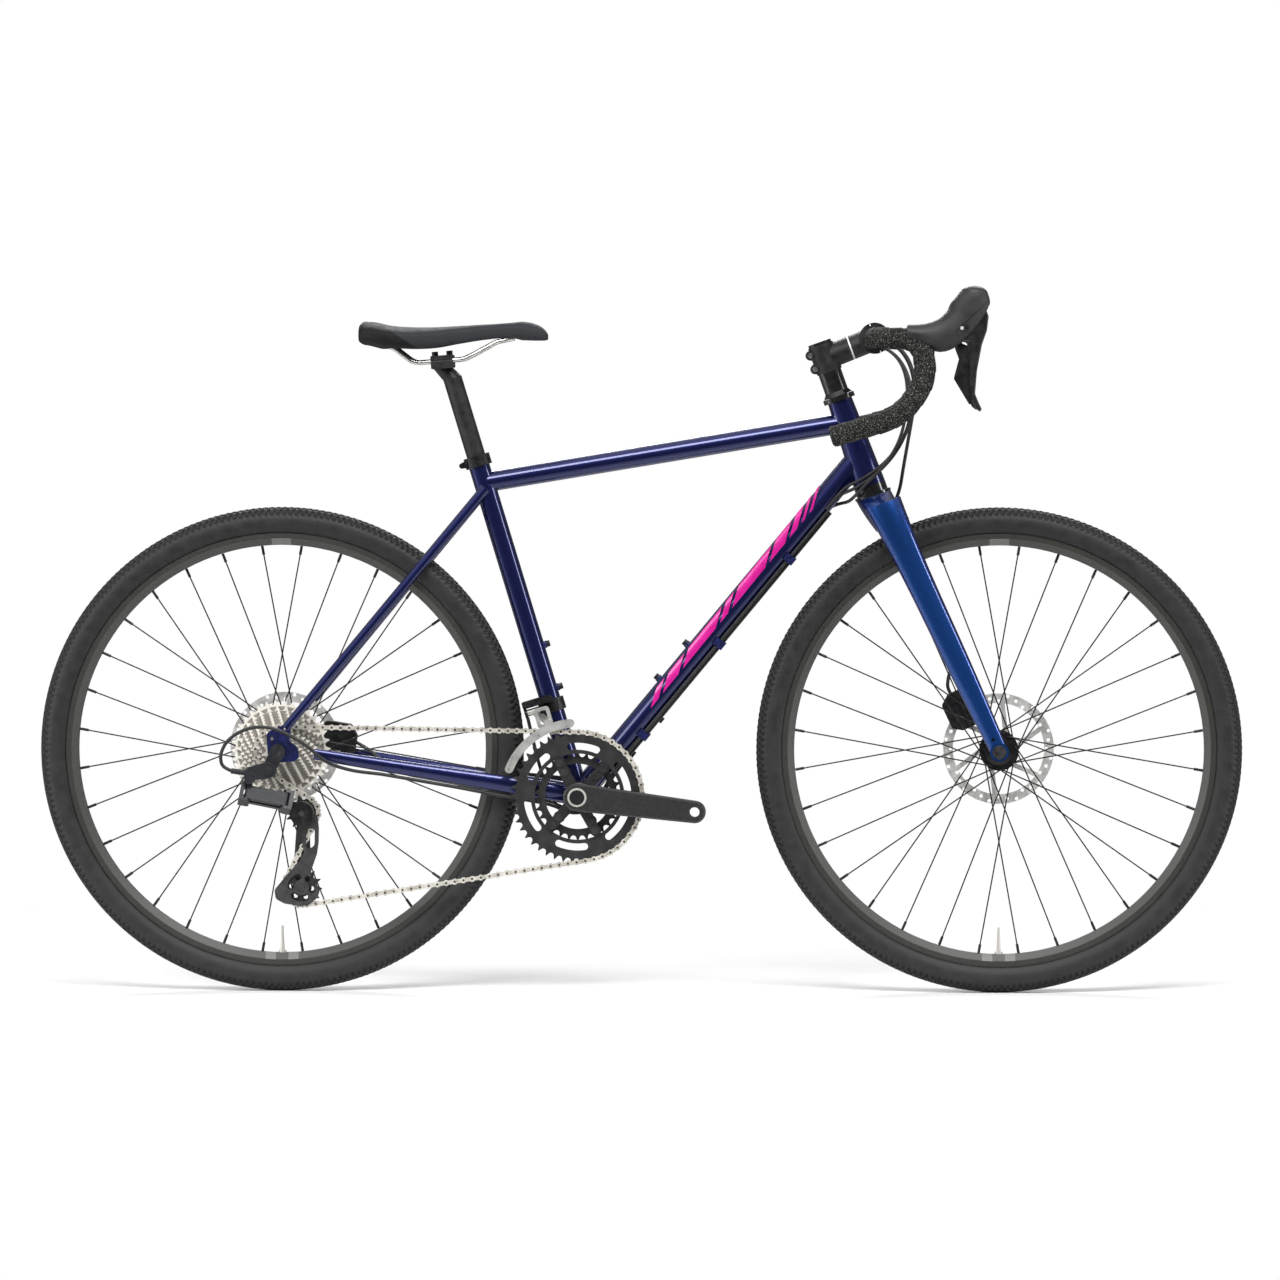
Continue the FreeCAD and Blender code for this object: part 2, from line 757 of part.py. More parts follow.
def chain_spans(lean):
    """The chain's closed path as alternating arcs and straight spans."""
    wheels = [
        (bottom_bracket, pitch_radius(big_ring_teeth), 1),
        (tension_pulley_axle(lean), pitch_radius(tension_teeth), 1),
        (guide_pulley_axle, pitch_radius(guide_teeth), -1),
        (rear_axle, pitch_radius(cog_teeth[chain_cog]), 1),
    ]
    count = len(wheels)
    runs = [tangent(wheels[k], wheels[(k + 1) % count]) for k in range(count)]
    spans = []
    for k, (centre, radius, turn) in enumerate(wheels):
        arrive = runs[k - 1][1] - centre
        leave = runs[k][0] - centre
        start = math.atan2(arrive.z, arrive.x)
        sweep = (turn * (start - math.atan2(leave.z, leave.x))) % (2 * math.pi)
        spans.append((radius * sweep, centre, radius, start, turn))
        spans.append(((runs[k][1] - runs[k][0]).Length, runs[k][0], runs[k][1]))
    return spans


def chain_place(spans, travel):
    """Point of the path after some travel along it."""
    travel = travel % sum(span[0] for span in spans)
    for span in spans:
        if travel <= span[0]:
            break
        travel -= span[0]
    if len(span) == 3:
        return span[1] + (span[2] - span[1]) * (travel / span[0])
    length, centre, radius, start, turn = span
    angle = start - turn * travel / radius
    return centre + vec(math.cos(angle), 0, math.sin(angle)) * radius


def next_travel(spans, travel):
    """Travel at which the next roller lies one pitch away in a straight line."""
    here = chain_place(spans, travel)
    low = travel + chain_pitch
    high = low + chain_pitch / 5
    for _ in range(40):
        middle = (low + high) / 2
        if (chain_place(spans, middle) - here).Length < chain_pitch:
            low = middle
        else:
            high = middle
    return (low + high) / 2


def walk(lean, links):
    """Travel of each roller, and how far the last falls past the start of the loop."""
    spans = chain_spans(lean)
    travels = [0.0]
    for _ in range(links):
        travels.append(next_travel(spans, travels[-1]))
    return travels, travels[-1] - sum(span[0] for span in spans)


def closed_chain():
    """Even number of links, and the lean of the cage at which they close exactly."""
    spans = chain_spans(cage_lean)
    links = 2 * round(sum(span[0] for span in spans) / chain_pitch / 2)
    swing = 15.0
    low, high = cage_lean - swing, cage_lean + swing
    low_sign = walk(low, links)[1] > 0
    for _ in range(36):
        middle = (low + high) / 2
        if (walk(middle, links)[1] > 0) == low_sign:
            low = middle
        else:
            high = middle
    lean = (low + high) / 2
    travels, _ = walk(lean, links)
    spans = chain_spans(lean)
    return links, lean, [chain_place(spans, t) for t in travels[:-1]]


chain_links, chain_lean, roller_places = closed_chain()
tension_axle = tension_pulley_axle(chain_lean)


def phase_on(centre, teeth):
    """Angle of a roller that lies on a wheel, so that its teeth mesh with the chain."""
    near = min(roller_places, key=lambda p: abs((p - centre).Length - pitch_radius(teeth)))
    return math.degrees(math.atan2((near - centre).z, (near - centre).x))


def toothed_wire(centre, teeth, phase, y):
    """Sprocket outline: a round seat for each roller and straight flanks up to a flat tip."""
    seat = roller_radius + tooth_gap
    tip = pitch_radius(teeth) + tooth_height
    tip_half = math.degrees(tooth_tip_width / 2 / tip)
    step = 360.0 / teeth
    edges = []
    for k in range(teeth):
        angle = phase + k * step
        middle = sideways(centre + turned(angle) * pitch_radius(teeth), y)
        seats = [middle + turned(angle + 180 + sign * seat_half_angle) * seat for sign in (1, 0, -1)]
        tips = [sideways(centre + turned(angle + step / 2 + sign * tip_half) * tip, y) for sign in (-1, 1)]
        next_angle = angle + step
        next_middle = sideways(centre + turned(next_angle) * pitch_radius(teeth), y)
        following = next_middle + turned(next_angle + 180 + seat_half_angle) * seat
        edges.append(Part.Arc(*seats).toShape())
        edges.append(Part.LineSegment(seats[2], tips[0]).toShape())
        edges.append(Part.LineSegment(tips[0], tips[1]).toShape())
        edges.append(Part.LineSegment(tips[1], following).toShape())
    return Part.Wire(edges)


def hole_ring(centre, y, inner, teeth, phase, count):
    """Circles for the lightening holes between a hub's radius and the tooth roots."""
    outer = pitch_radius(teeth) - roller_radius
    radius = min(lightening_radius, (outer - inner) / 2 - lightening_web)
    if radius < lightening_web:
        return []
    middle = (outer + inner) / 2
    places = [sideways(centre + turned(phase + (k + 0.5) * 360.0 / count) * middle, y) for k in range(count)]
    return [Part.Wire([Part.makeCircle(radius, place, vec(0, 1, 0))]) for place in places]


def sprocket(centre, teeth, phase, y, thickness, bore, holes=()):
    wire = toothed_wire(centre, teeth, phase, y - thickness / 2)
    hole = Part.Wire([Part.makeCircle(bore, sideways(centre, y - thickness / 2), vec(0, 1, 0))])
    return Part.Face([wire, hole] + list(holes)).extrude(vec(0, thickness, 0))


# Chain: inner links carry the rollers, outer links carry the pins
inner_width = 2.2
plate_thickness = 0.75
plate_gap = 0.06
plate_radius = 4.2
plate_waist = 2.9
pin_radius = 1.75
pin_overhang = 0.06
plate_shoulder_angle = 40.0


def link_plate(y_from, y_to):
    """Waisted plate round two pins."""
    far = vec(chain_pitch, 0, 0)
    mid = chain_pitch / 2

    def rim_point(centre, angle):
        return sideways(centre + turned(angle) * plate_radius, y_from)

    near = vec(0, 0, 0)
    edges = [
        Part.Arc(rim_point(near, plate_shoulder_angle), rim_point(near, 180),
                 rim_point(near, -plate_shoulder_angle)).toShape(),
        Part.Arc(rim_point(near, -plate_shoulder_angle), vec(mid, y_from, -plate_waist),
                 rim_point(far, 180 + plate_shoulder_angle)).toShape(),
        Part.Arc(rim_point(far, 180 + plate_shoulder_angle), rim_point(far, 0),
                 rim_point(far, 180 - plate_shoulder_angle)).toShape(),
        Part.Arc(rim_point(far, 180 - plate_shoulder_angle), vec(mid, y_from, plate_waist),
                 rim_point(near, plate_shoulder_angle)).toShape(),
    ]
    return Part.Face(Part.Wire(edges)).extrude(vec(0, y_to - y_from, 0))


def inner_link():
    half = inner_width / 2
    outside = half + plate_thickness
    ends = (vec(0, 0, 0), vec(chain_pitch, 0, 0))
    body = fused([link_plate(-outside, -half), link_plate(half, outside)]
                 + [disc(end, roller_radius, -half, half) for end in ends])
    for end in ends:
        body = drilled(body, end, pin_radius + running_gap, -outside, outside)
    return body


def outer_link():
    inside = inner_width / 2 + plate_thickness + plate_gap
    outside = inside + plate_thickness
    ends = (vec(0, 0, 0), vec(chain_pitch, 0, 0))
    pin = outside + pin_overhang
    return fused([link_plate(-outside, -inside), link_plate(inside, outside)]
                 + [disc(end, pin_radius, -pin, pin) for end in ends])


def chain():
    kinds = (inner_link(), outer_link())
    pieces = []
    for k in range(chain_links):
        here = roller_places[k]
        ahead = roller_places[(k + 1) % chain_links] - here
        angle = -math.degrees(math.atan2(ahead.z, ahead.x))
        link = kinds[k % 2].copy()
        link.Placement = FreeCAD.Placement(sideways(here, -chain_line),
                                           FreeCAD.Rotation(vec(0, 1, 0), angle))
        pieces.append(link)
    return Part.makeCompound(pieces)


# Cassette: eleven cogs and their spacers on a freehub body
cog_thickness = 1.6
cog_pitch = 3.74
freehub_radius = 16.2
spacer_ring_radius = 18.0
cassette_lock_radius = 16.6
cog_hole_count = 10
cassette_lock_height = 2.6


def cog_y(index):
    return -chain_line - (chain_cog - index) * cog_pitch


def cassette():
    phase = phase_on(rear_axle, cog_teeth[chain_cog])
    pieces = []
    for index, teeth in enumerate(cog_teeth):
        y = cog_y(index)
        holes = hole_ring(rear_axle, y - cog_thickness / 2, spacer_ring_radius, teeth, phase, cog_hole_count)
        pieces.append(sprocket(rear_axle, teeth, phase, y, cog_thickness, freehub_radius + running_gap, holes))
        if index:
            outer_face = cog_y(index - 1) + cog_thickness / 2
            pieces.append(ring(rear_axle, spacer_ring_radius, freehub_radius + running_gap,
                               outer_face, y - cog_thickness / 2))
    outer_end = cog_y(0) - cog_thickness / 2
    inner_end = -cassette_side - side_gap
    bore = hub_tube_radius + running_gap
    pieces.append(ring(rear_axle, freehub_radius, bore, outer_end, inner_end))
    pieces.append(ring(rear_axle, cassette_lock_radius, bore, outer_end - cassette_lock_height, outer_end))
    return Part.makeCompound(pieces)


# Crankset: hollow spindle and spider on the right arm, clamped left arm, two chainrings
ring_thickness = 1.9
ring_step = 7.9
spindle_radius = 12.0
spindle_bore = 10.0
cup_end = 45.0
cup_flange_radius = 21.8
cup_depth = 10.0
arm_inner = 61.5
arm_outer = 75.0
arm_hub_radius = 20.0
arm_tip_half = 16.0
arm_edge = 2.5
pedal_bore = 7.15
crank_cap_radius = 13.0
crank_cap_height = 1.5
spider_angles = (55.0, 125.0, -125.0, -55.0)
bolt_circle_radius = 55.0
small_bolt_circle_radius = 40.0
spider_thickness = 5.6
spider_root_half = 9.0
spider_tip_half = 7.0
tab_radius = 8.5
ring_bolt_radius = 4.0
ring_bolt_head = 5.8
ring_bolt_head_height = 2.0
big_ring_inner_radius = 62.0
ring_slot_radius = 72.5
ring_slot_half = 5.0
ring_slot_sweep = 15.0
ring_slots = 6
small_ring_inner_radius = 47.0
spider_inner = chain_line + ring_thickness / 2


def arc_slot(centre, radius, half, mid_angle, sweep, y_from, y_to):
    """Curved slot with round ends, along a circle."""
    def at(angle, r):
        return sideways(centre + turned(mid_angle + angle) * r, y_from)

    bulge = math.degrees(half / radius)
    edges = [
        Part.Arc(at(-sweep, radius + half), at(0, radius + half), at(sweep, radius + half)).toShape(),
        Part.Arc(at(sweep, radius + half), at(sweep + bulge, radius), at(sweep, radius - half)).toShape(),
        Part.Arc(at(sweep, radius - half), at(0, radius - half), at(-sweep, radius - half)).toShape(),
        Part.Arc(at(-sweep, radius - half), at(-sweep - bulge, radius), at(-sweep, radius + half)).toShape(),
    ]
    return Part.Face(Part.Wire(edges)).extrude(vec(0, y_to - y_from, 0))


def crank_arm(side, angle):
    """Tapered arm with a round eye for the pedal, a hub boss and an end cap."""
    eye = bottom_bracket + turned(angle) * crank_length
    inner, outer = side * arm_inner, side * arm_outer
    body = capsule(bottom_bracket, arm_hub_radius, eye, arm_tip_half, inner, outer)
    body = body.makeChamfer(arm_edge, edges_at(body, outer))
    boss_part = disc(bottom_bracket, arm_hub_radius, side * (cup_end + side_gap), inner)
    cap = disc(bottom_bracket, crank_cap_radius, outer, outer + side * crank_cap_height)
    body = fused([body, boss_part, cap])
    return drilled(body, eye, pedal_bore, inner, outer)


def crank_arm_right():
    arm = crank_arm(right, crank_angle)
    outer = -spider_inner - spider_thickness
    legs = []
    for spread in spider_angles:
        tip = bottom_bracket + turned(crank_angle + spread) * bolt_circle_radius
        legs.append(capsule(bottom_bracket, spider_root_half, tip, spider_tip_half, outer, -spider_inner))
    body = fused([arm] + legs)
    spindle_end = arm_outer - crank_cap_height
    body = fused([body, disc(bottom_bracket, spindle_radius, -arm_inner, spindle_end)])
    body = body.cut(disc(bottom_bracket, spindle_bore, -arm_inner, spindle_end + overrun))
    for spread in spider_angles:
        for radius in (bolt_circle_radius, small_bolt_circle_radius):
            place = bottom_bracket + turned(crank_angle + spread) * radius
            body = drilled(body, place, ring_bolt_radius + running_gap, outer, -spider_inner)
    return body


def crank_arm_left():
    arm = crank_arm(left, crank_angle + 180)
    bore_end = arm_outer - crank_cap_height + running_gap
    return arm.cut(disc(bottom_bracket, spindle_radius + running_gap, 0, bore_end))


def chainring(teeth, y, inner_radius, bolt_radius):
    phase = phase_on(bottom_bracket, teeth) if teeth == big_ring_teeth else 0.0
    body = sprocket(bottom_bracket, teeth, phase, y, ring_thickness, inner_radius)
    low, high = y - ring_thickness / 2, y + ring_thickness / 2
    tabs = [disc(bottom_bracket + turned(crank_angle + spread) * bolt_radius, tab_radius, low, high)
            for spread in spider_angles]
    body = fused([body] + tabs)
    for spread in spider_angles:
        place = bottom_bracket + turned(crank_angle + spread) * bolt_radius
        body = drilled(body, place, ring_bolt_radius + running_gap, low, high)
    return body


def chainrings():
    big = chainring(big_ring_teeth, -chain_line, big_ring_inner_radius, bolt_circle_radius)
    for k in range(ring_slots):
        angle = crank_angle + (k + 0.5) * 360.0 / ring_slots
        big = big.cut(arc_slot(bottom_bracket, ring_slot_radius, ring_slot_half, angle, ring_slot_sweep,
                               -chain_line - overrun, -chain_line + overrun))
    small_y = ring_step - chain_line
    small = chainring(small_ring_teeth, small_y, small_ring_inner_radius, small_bolt_circle_radius)
    outer = -spider_inner - spider_thickness
    pieces = [big, small]
    for spread in spider_angles:
        along = turned(crank_angle + spread)
        for radius, end in ((bolt_circle_radius, -chain_line + ring_thickness / 2),
                            (small_bolt_circle_radius, small_y + ring_thickness / 2)):
            place = bottom_bracket + along * radius
            shank = disc(place, ring_bolt_radius, outer, end)
            head = disc(place, ring_bolt_head, outer - ring_bolt_head_height, outer)
            nut = disc(place, ring_bolt_head, end, end + ring_bolt_head_height)
            pieces.append(fused([shank, head, nut]))
        place = bottom_bracket + along * small_bolt_circle_radius
        pieces.append(ring(place, ring_bolt_head, ring_bolt_radius + running_gap, -spider_inner,
                           small_y - ring_thickness / 2))
    return Part.makeCompound(pieces)


def bracket_cup(side):
    """External bearing cup: a collar outside the shell and a sleeve pressed inside it."""
    face = side * shell_width / 2
    collar = disc(bottom_bracket, cup_flange_radius, face, side * cup_end)
    sleeve = disc(bottom_bracket, shell_bore - running_gap, face - side * cup_depth, face)
    return drilled(fused([collar, sleeve]), bottom_bracket, spindle_radius + running_gap,
                   face - side * cup_depth, side * cup_end)


def headset_cups():
    lower = pipe(on_steerer(lower_cup_from), on_steerer(head_tube_from), head_tube_bottom_radius,
                 steerer_radius + running_gap)
    upper = pipe(on_steerer(head_tube_to), on_steerer(upper_cup_to), head_tube_bottom_radius,
                 steerer_radius + running_gap)
    return [lower, upper]


def bearing_cups():
    return Part.makeCompound(headset_cups() + [bracket_cup(left), bracket_cup(right)])


# Fork: steerer, crown and two straight legs in one piece
leg_depth = 54.0
leg_width = 34.0
leg_end_width = 14.0
leg_lean_share = 0.84
# Each row: height, spread, depth and width of the leg
fork_leg_shares = ((0.965, 0.63, 1.0, 1.0), (0.86, 0.755, 0.87, 0.82), (0.74, 0.81, 0.77, 0.72),
                   (0.5, 0.895, 0.68, 0.62), (0.25, 0.956, 0.6, 0.52), (0.0, 1.0, 0.46, 0.37))
fork_end_radius = 13.5
crown_radius = 27.0
crown_half_width = 52.0
crown_depth_share = 0.96
crown_height_shares = (1.0, 0.93, 0.875)
crown_width_shares = (0.52, 0.97, 1.0)
tyre_clearance = 8.0
steerer_wall = 2.3
fork_eyelet_back = 9.0
fork_eyelet_up = 18.0
leg_plane = front_spacing / 2 + leg_end_width / 2


def leg_ahead(height):
    """How far the leg lies ahead of the steering axis at a height above the axle."""
    return fork_rake * (1 - leg_lean_share * height / fork_height)


def fork_leg(side):
    wires = []
    for high, spread, deep, wide in fork_leg_shares:
        height = high * fork_height
        centre = on_steerer(height, leg_ahead(height), side * spread * leg_plane)
        wires.append(oval(centre, steer_ahead, vec(0, 1, 0), deep * leg_depth / 2, wide * leg_width / 2))
    inner = side * front_spacing / 2
    end = disc(front_axle, fork_end_radius, inner, inner + side * leg_end_width)
    return [loft(wires), end]


def fork_crown():
    wires = []
    for high, wide in zip(crown_height_shares, crown_width_shares):
        height = high * fork_height
        ahead = leg_ahead(height) * (1 - high) / (1 - crown_height_shares[-1])
        wires.append(oval(on_steerer(height, ahead), steer_ahead, vec(0, 1, 0),
                          crown_radius * crown_depth_share, crown_half_width * wide))
    return loft(wires)


def fork():
    steerer = rod(on_steerer(fork_height - overrun), on_steerer(stem_to - overrun), steerer_radius)
    body = fused([fork_crown()] + fork_leg(left) + fork_leg(right))
    half = tyre_width / 2 + tyre_clearance
    body = body.cut(disc(front_axle, tyre_radius + tyre_clearance, -half, half))
    body = body.fuse(steerer)
    body = body.cut(rod(on_steerer(fork_height), on_steerer(stem_to), steerer_radius - steerer_wall))
    reach = front_spacing / 2 + leg_end_width
    body = drilled(body, front_axle, fork_end_radius, -front_spacing / 2, front_spacing / 2)
    for side in (left, right):
        body = drilled(body, front_axle, fork_end_radius, side * reach, side * (reach + tyre_clearance))
    body = drilled(body, front_axle, axle_radius + running_gap, -reach, reach)
    eyelet = front_axle + vec(-fork_eyelet_back, 0, fork_eyelet_up)
    return drilled(body, eyelet, eyelet_radius, -reach, reach)


# Headset spacers, crown race, dust cover and top cap
spacer_radius = 17.0
cover_radius = 21.5


def headset_spacers():
    bore = steerer_radius + running_gap
    pieces = [pipe(on_steerer(fork_height), on_steerer(race_top), crown_radius - running_gap, bore)]
    cover = cone(on_steerer(cover_from), on_steerer(spacers_from), cover_radius, spacer_radius)
    pieces.append(cover.cut(rod(on_steerer(cover_from - overrun), on_steerer(spacers_from + overrun), bore)))
    for k in range(spacer_count):
        low = spacers_from + k * spacer_height
        pieces.append(pipe(on_steerer(low), on_steerer(low + spacer_height), spacer_radius, bore))
    pieces.append(rod(on_steerer(stem_to), on_steerer(stem_to + top_cap_height), spacer_radius))
    return Part.makeCompound(pieces)


# Stem: steerer clamp, tapered extension and a four-bolt faceplate
stem_clamp_radius = 18.6
stem_half_height = 17.4
stem_half_width = 16.0
bar_clamp_outer = 22.4
bar_clamp_half_width = 22.0
bar_clamp_radius = 15.9
faceplate_gap = 1.4
stem_bolt_radius = 2.4
stem_bolt_head = 3.9
stem_bolt_head_height = 4.0
faceplate_bolt_up = 18.6
faceplate_bolt_side = 14.0
stem_ear_back = 25.5
stem_ear_half_width = 12.5
stem_ear_half_height = 7.0
stem_ear_up = 10.5
stem_middle = (stem_from + stem_to) / 2
bar_centre = on_steerer(stem_middle + stem_rise, stem_reach)
stem_way = unit(bar_centre - on_steerer(stem_middle))
stem_over = vec(-stem_way.z, 0, stem_way.x)


def ahead_of_bar(gap):
    """Space in front of the plane that splits the faceplate from the stem."""
    high = stem_over * (bar_clamp_outer + overrun)
    near = bar_centre + stem_way * gap
    far = bar_centre + stem_way * (bar_clamp_outer + overrun)
    wide = bar_clamp_half_width + overrun
    return slab([near - high, far - high, far + high, near + high], overrun / 2, -wide, wide)


def faceplate_bolt_lines():
    lines = []
    for up in (faceplate_bolt_up, -faceplate_bolt_up):
        for side in (left, right):
            middle = sideways(bar_centre + stem_over * up, side * faceplate_bolt_side)
            lines.append((middle - stem_way * stem_bolt_head_height * 2,
                          middle + stem_way * stem_bolt_head_height * 2))
    return lines


def stem_ear_places():
    return [on_steerer(stem_middle + up, -stem_ear_back + stem_ear_half_height)
            for up in (stem_ear_up, -stem_ear_up)]


def stem():
    wide = bar_clamp_half_width
    extension = loft([
        oval(on_steerer(stem_middle), stem_over, vec(0, 1, 0), stem_half_height, stem_half_width),
        oval(bar_centre, stem_over, vec(0, 1, 0), stem_half_height, bar_clamp_half_width)])
    ears = [capsule(place, stem_ear_half_height, on_steerer(stem_middle), stem_ear_half_height,
                    -stem_ear_half_width, stem_ear_half_width) for place in stem_ear_places()]
    body = fused([rod(on_steerer(stem_from), on_steerer(stem_to), stem_clamp_radius), extension,
                  disc(bar_centre, bar_clamp_outer, -wide, wide)] + ears)
    body = body.cut(rod(on_steerer(stem_from - overrun), on_steerer(stem_to + overrun),
                        steerer_radius + running_gap))
    bar_hole = disc(bar_centre, bar_clamp_radius + running_gap, -wide - overrun, wide + overrun)
    body = body.cut(bar_hole).cut(ahead_of_bar(0.0))
    plate = disc(bar_centre, bar_clamp_outer, -wide, wide).cut(bar_hole).common(ahead_of_bar(faceplate_gap))
    for back, front in faceplate_bolt_lines():
        shank = rod(back, front, stem_bolt_radius + running_gap)
        seat = rod(front - stem_way * stem_bolt_head_height / 2, front + stem_way * bar_clamp_outer,
                   stem_bolt_head + running_gap)
        body = body.cut(shank)
        plate = plate.cut(shank).cut(seat)
    for place in stem_ear_places():
        body = drilled(body, place, stem_bolt_radius + running_gap, -stem_ear_half_width,
                       stem_ear_half_width)
    return Part.makeCompound([body, plate])


def steering_bolts():
    bolts = []
    for back, front in faceplate_bolt_lines():
        seat = front - stem_way * stem_bolt_head_height / 2
        bolts.append(fused([rod(back, seat, stem_bolt_radius),
                            rod(seat, seat + stem_way * stem_bolt_head_height, stem_bolt_head)]))
    wide = stem_ear_half_width
    for place in stem_ear_places():
        bolts.append(fused([disc(place, stem_bolt_radius, -wide, wide),
                            disc(place, stem_bolt_head, -wide - stem_bolt_head_height / 2, -wide)]))
    return Part.makeCompound(bolts)


# Drop handlebar and its wrapped tape
bar_radius = 11.9
bar_wall = 2.0
bar_reach = 76.0
bar_drop = 140.0
bar_half_width = 215.0
bar_sleeve_half = 32.0
bar_bend = 90.0
# Each row: ahead, out and up from the clamp
bar_route_shares = ((0.0, 0.0, 0.0), (0.0, 0.9, 0.0), (0.88, 1.0, -0.012), (0.985, 1.02, -0.42),
                    (0.5, 1.06, -0.8), (-0.8, 1.1, -1.0))
tape_thickness = 3.5
tape_start = 40.0
plug_radius = 13.2
plug_height = 4.0


def bar_points(side, start):
    points = [bar_centre + vec(a * bar_reach, side * b * bar_half_width, c * bar_drop)
              for a, b, c in bar_route_shares]
    points[0] = sideways(bar_centre, side * start)
    return points


def handlebar():
    halves = [swept(bar_points(side, 0.0), bar_bend, bar_radius) for side in (left, right)]
    sleeve = disc(bar_centre, bar_clamp_radius, -bar_sleeve_half, bar_sleeve_half)
    body = fused([sleeve] + halves)
    for side in (left, right):
        body = body.cut(swept(bar_points(side, 0.0), bar_bend, bar_radius - bar_wall))
    return body


def tape_block(side, radius):
    return swept(bar_points(side, tape_start), bar_bend, radius)


def bar_tape():
    pieces = []
    for side in (left, right):
        outer = tape_block(side, bar_radius + tape_thickness)
        pieces.append(outer.cut(tape_block(side, bar_radius + running_gap)))
        points = bar_points(side, tape_start)
        way = unit(points[-1] - points[-2])
        pieces.append(rod(points[-1], points[-1] + way * plug_height, plug_radius))
    return Part.makeCompound(pieces)


# Brake and shift levers: rubber hood, brake blade and shift paddle on each side
hood_reach = 165.0
hood_half_width = 17.0
hood_steps = 4
# Each row: ahead, up and tilt of the section, then its half height and half width
hood_shares = ((0.28, 0.045, 0.0, 0.066, 0.86), (0.44, 0.018, 0.0, 0.103, 0.95),
               (0.60, 0.032, 12.0, 0.147, 1.0), (0.74, 0.147, 48.0, 0.14, 1.0),
               (0.827, 0.29, 78.0, 0.155, 0.98), (0.85, 0.375, 86.0, 0.122, 0.9),
               (0.85, 0.418, 89.0, 0.092, 0.72), (0.848, 0.44, 91.0, 0.034, 0.27))
lever_thickness = 9.0
lever_edge = 1.6
lever_corner = 6.0
lever_pivot_shares = (0.79, 0.085)
lever_outline_shares = (
    (0.905, 0.25), (0.955, 0.235), (0.975, 0.18), (0.96, 0.06), (0.918, -0.06), (0.876, -0.28),
    (0.86, -0.48), (0.895, -0.565), (0.918, -0.61), (0.903, -0.635), (0.862, -0.605), (0.828, -0.53),
    (0.808, -0.36), (0.816, -0.16), (0.82, -0.03), (0.755, -0.03), (0.735, 0.08), (0.775, 0.14),
    (0.85, 0.16))
lever_slot_shares = ((0.66, -0.09), (0.66, 0.165), (0.9, 0.275), (1.06, 0.275), (1.06, -0.09))
paddle_room_shares = ((0.66, -0.12), (0.66, 0.09), (0.9, 0.09), (1.06, -0.12))
lever_pin_radius = 2.5
paddle_thickness = 3.0
paddle_offset = 6.4
paddle_pin_radius = 1.6
paddle_outline_shares = ((0.70, 0.035), (0.735, 0.035), (0.75, -0.05), (0.80, -0.07), (0.807, -0.2),
                         (0.857, -0.585), (0.835, -0.58), (0.70, -0.355), (0.705, -0.33), (0.745, -0.18),
                         (0.70, -0.06))
paddle_room_half = 13.8
paddle_pin_tip_shares = (0.80, 0.025)
paddle_pin_root_shares = (0.732, 0.025)
paddle_arm_back_shares = (0.70, 0.025)
paddle_arm_radius = 3.2
lever_y = bar_half_width


def hood_place(ahead, up, y):
    return sideways(bar_centre + vec(ahead * hood_reach, 0, up * hood_reach), y)


def hood_outline(shares, y):
    return [hood_place(a, b, y) for a, b in shares]


def lever_hood(side):
    """Rubber-covered lever body, hollowed for the bar and slotted for the blade."""
    y = side * lever_y
    wires = []
    for ahead, up, tilt, high, wide in smoothed(hood_shares, hood_steps):
        wires.append(oval(hood_place(ahead, up, y), turned(90 + tilt), vec(0, 1, 0),
                          high * hood_reach, wide * hood_half_width))
    half = lever_thickness / 2 + side_gap
    slot = slab(hood_outline(lever_slot_shares, 0), lever_corner, y - half, y + half)
    inner = y - side * paddle_room_half
    paddle_room = slab(hood_outline(paddle_room_shares, 0), lever_edge, min(inner, y), max(inner, y))
    tape = swept(bar_points(side, tape_start)[1:4], bar_bend, bar_radius + tape_thickness + running_gap)
    body = ruled_loft(wires).cut(slot.fuse(paddle_room)).cut(tape)
    pivot = hood_place(*lever_pivot_shares, y)
    return drilled(body, pivot, lever_pin_radius + running_gap, y - hood_half_width, y + hood_half_width)


def brake_hoods():
    hood = lever_hood(left)
    return Part.makeCompound([hood, mirrored(hood)])


def paddle_line(side):
    """Back of the paddle's arm, foot of its pin and tip of its pin, all fore and aft."""
    shares = (paddle_arm_back_shares, paddle_pin_root_shares, paddle_pin_tip_shares)
    return [hood_place(a, b, side * lever_y) for a, b in shares]


def brake_lever(side):
    y = side * lever_y
    half = lever_thickness / 2
    blade = slab(hood_outline(lever_outline_shares, 0), lever_corner, y - half, y + half)
    blade = blade.makeChamfer(lever_edge, edges_at(blade, y - half) + edges_at(blade, y + half))
    pivot = hood_place(*lever_pivot_shares, y)
    reach = hood_half_width * hood_shares[3][4] - side_gap
    pin = disc(pivot, lever_pin_radius, y - reach, y + reach)
    back, _, tip = paddle_line(side)
    return fused([blade, pin]).cut(rod(back, tip + vec(side_gap, 0, 0), paddle_pin_radius + running_gap))


def shift_paddle(side):
    """Thin paddle inside the blade, on a fore-and-aft pin in the blade's root."""
    inner = side * (lever_y - paddle_offset - paddle_thickness)
    outer = side * (lever_y - paddle_offset)
    plate = slab(hood_outline(paddle_outline_shares, 0), lever_edge, inner, outer)
    back, root, tip = paddle_line(side)
    web = Part.makeBox(root.x - back.x, abs(inner - back.y), paddle_arm_radius,
                       vec(back.x, min(inner, back.y), back.z - paddle_arm_radius / 2))
    return fused([plate, web, rod(back, root, paddle_arm_radius), rod(back, tip, paddle_pin_radius)])


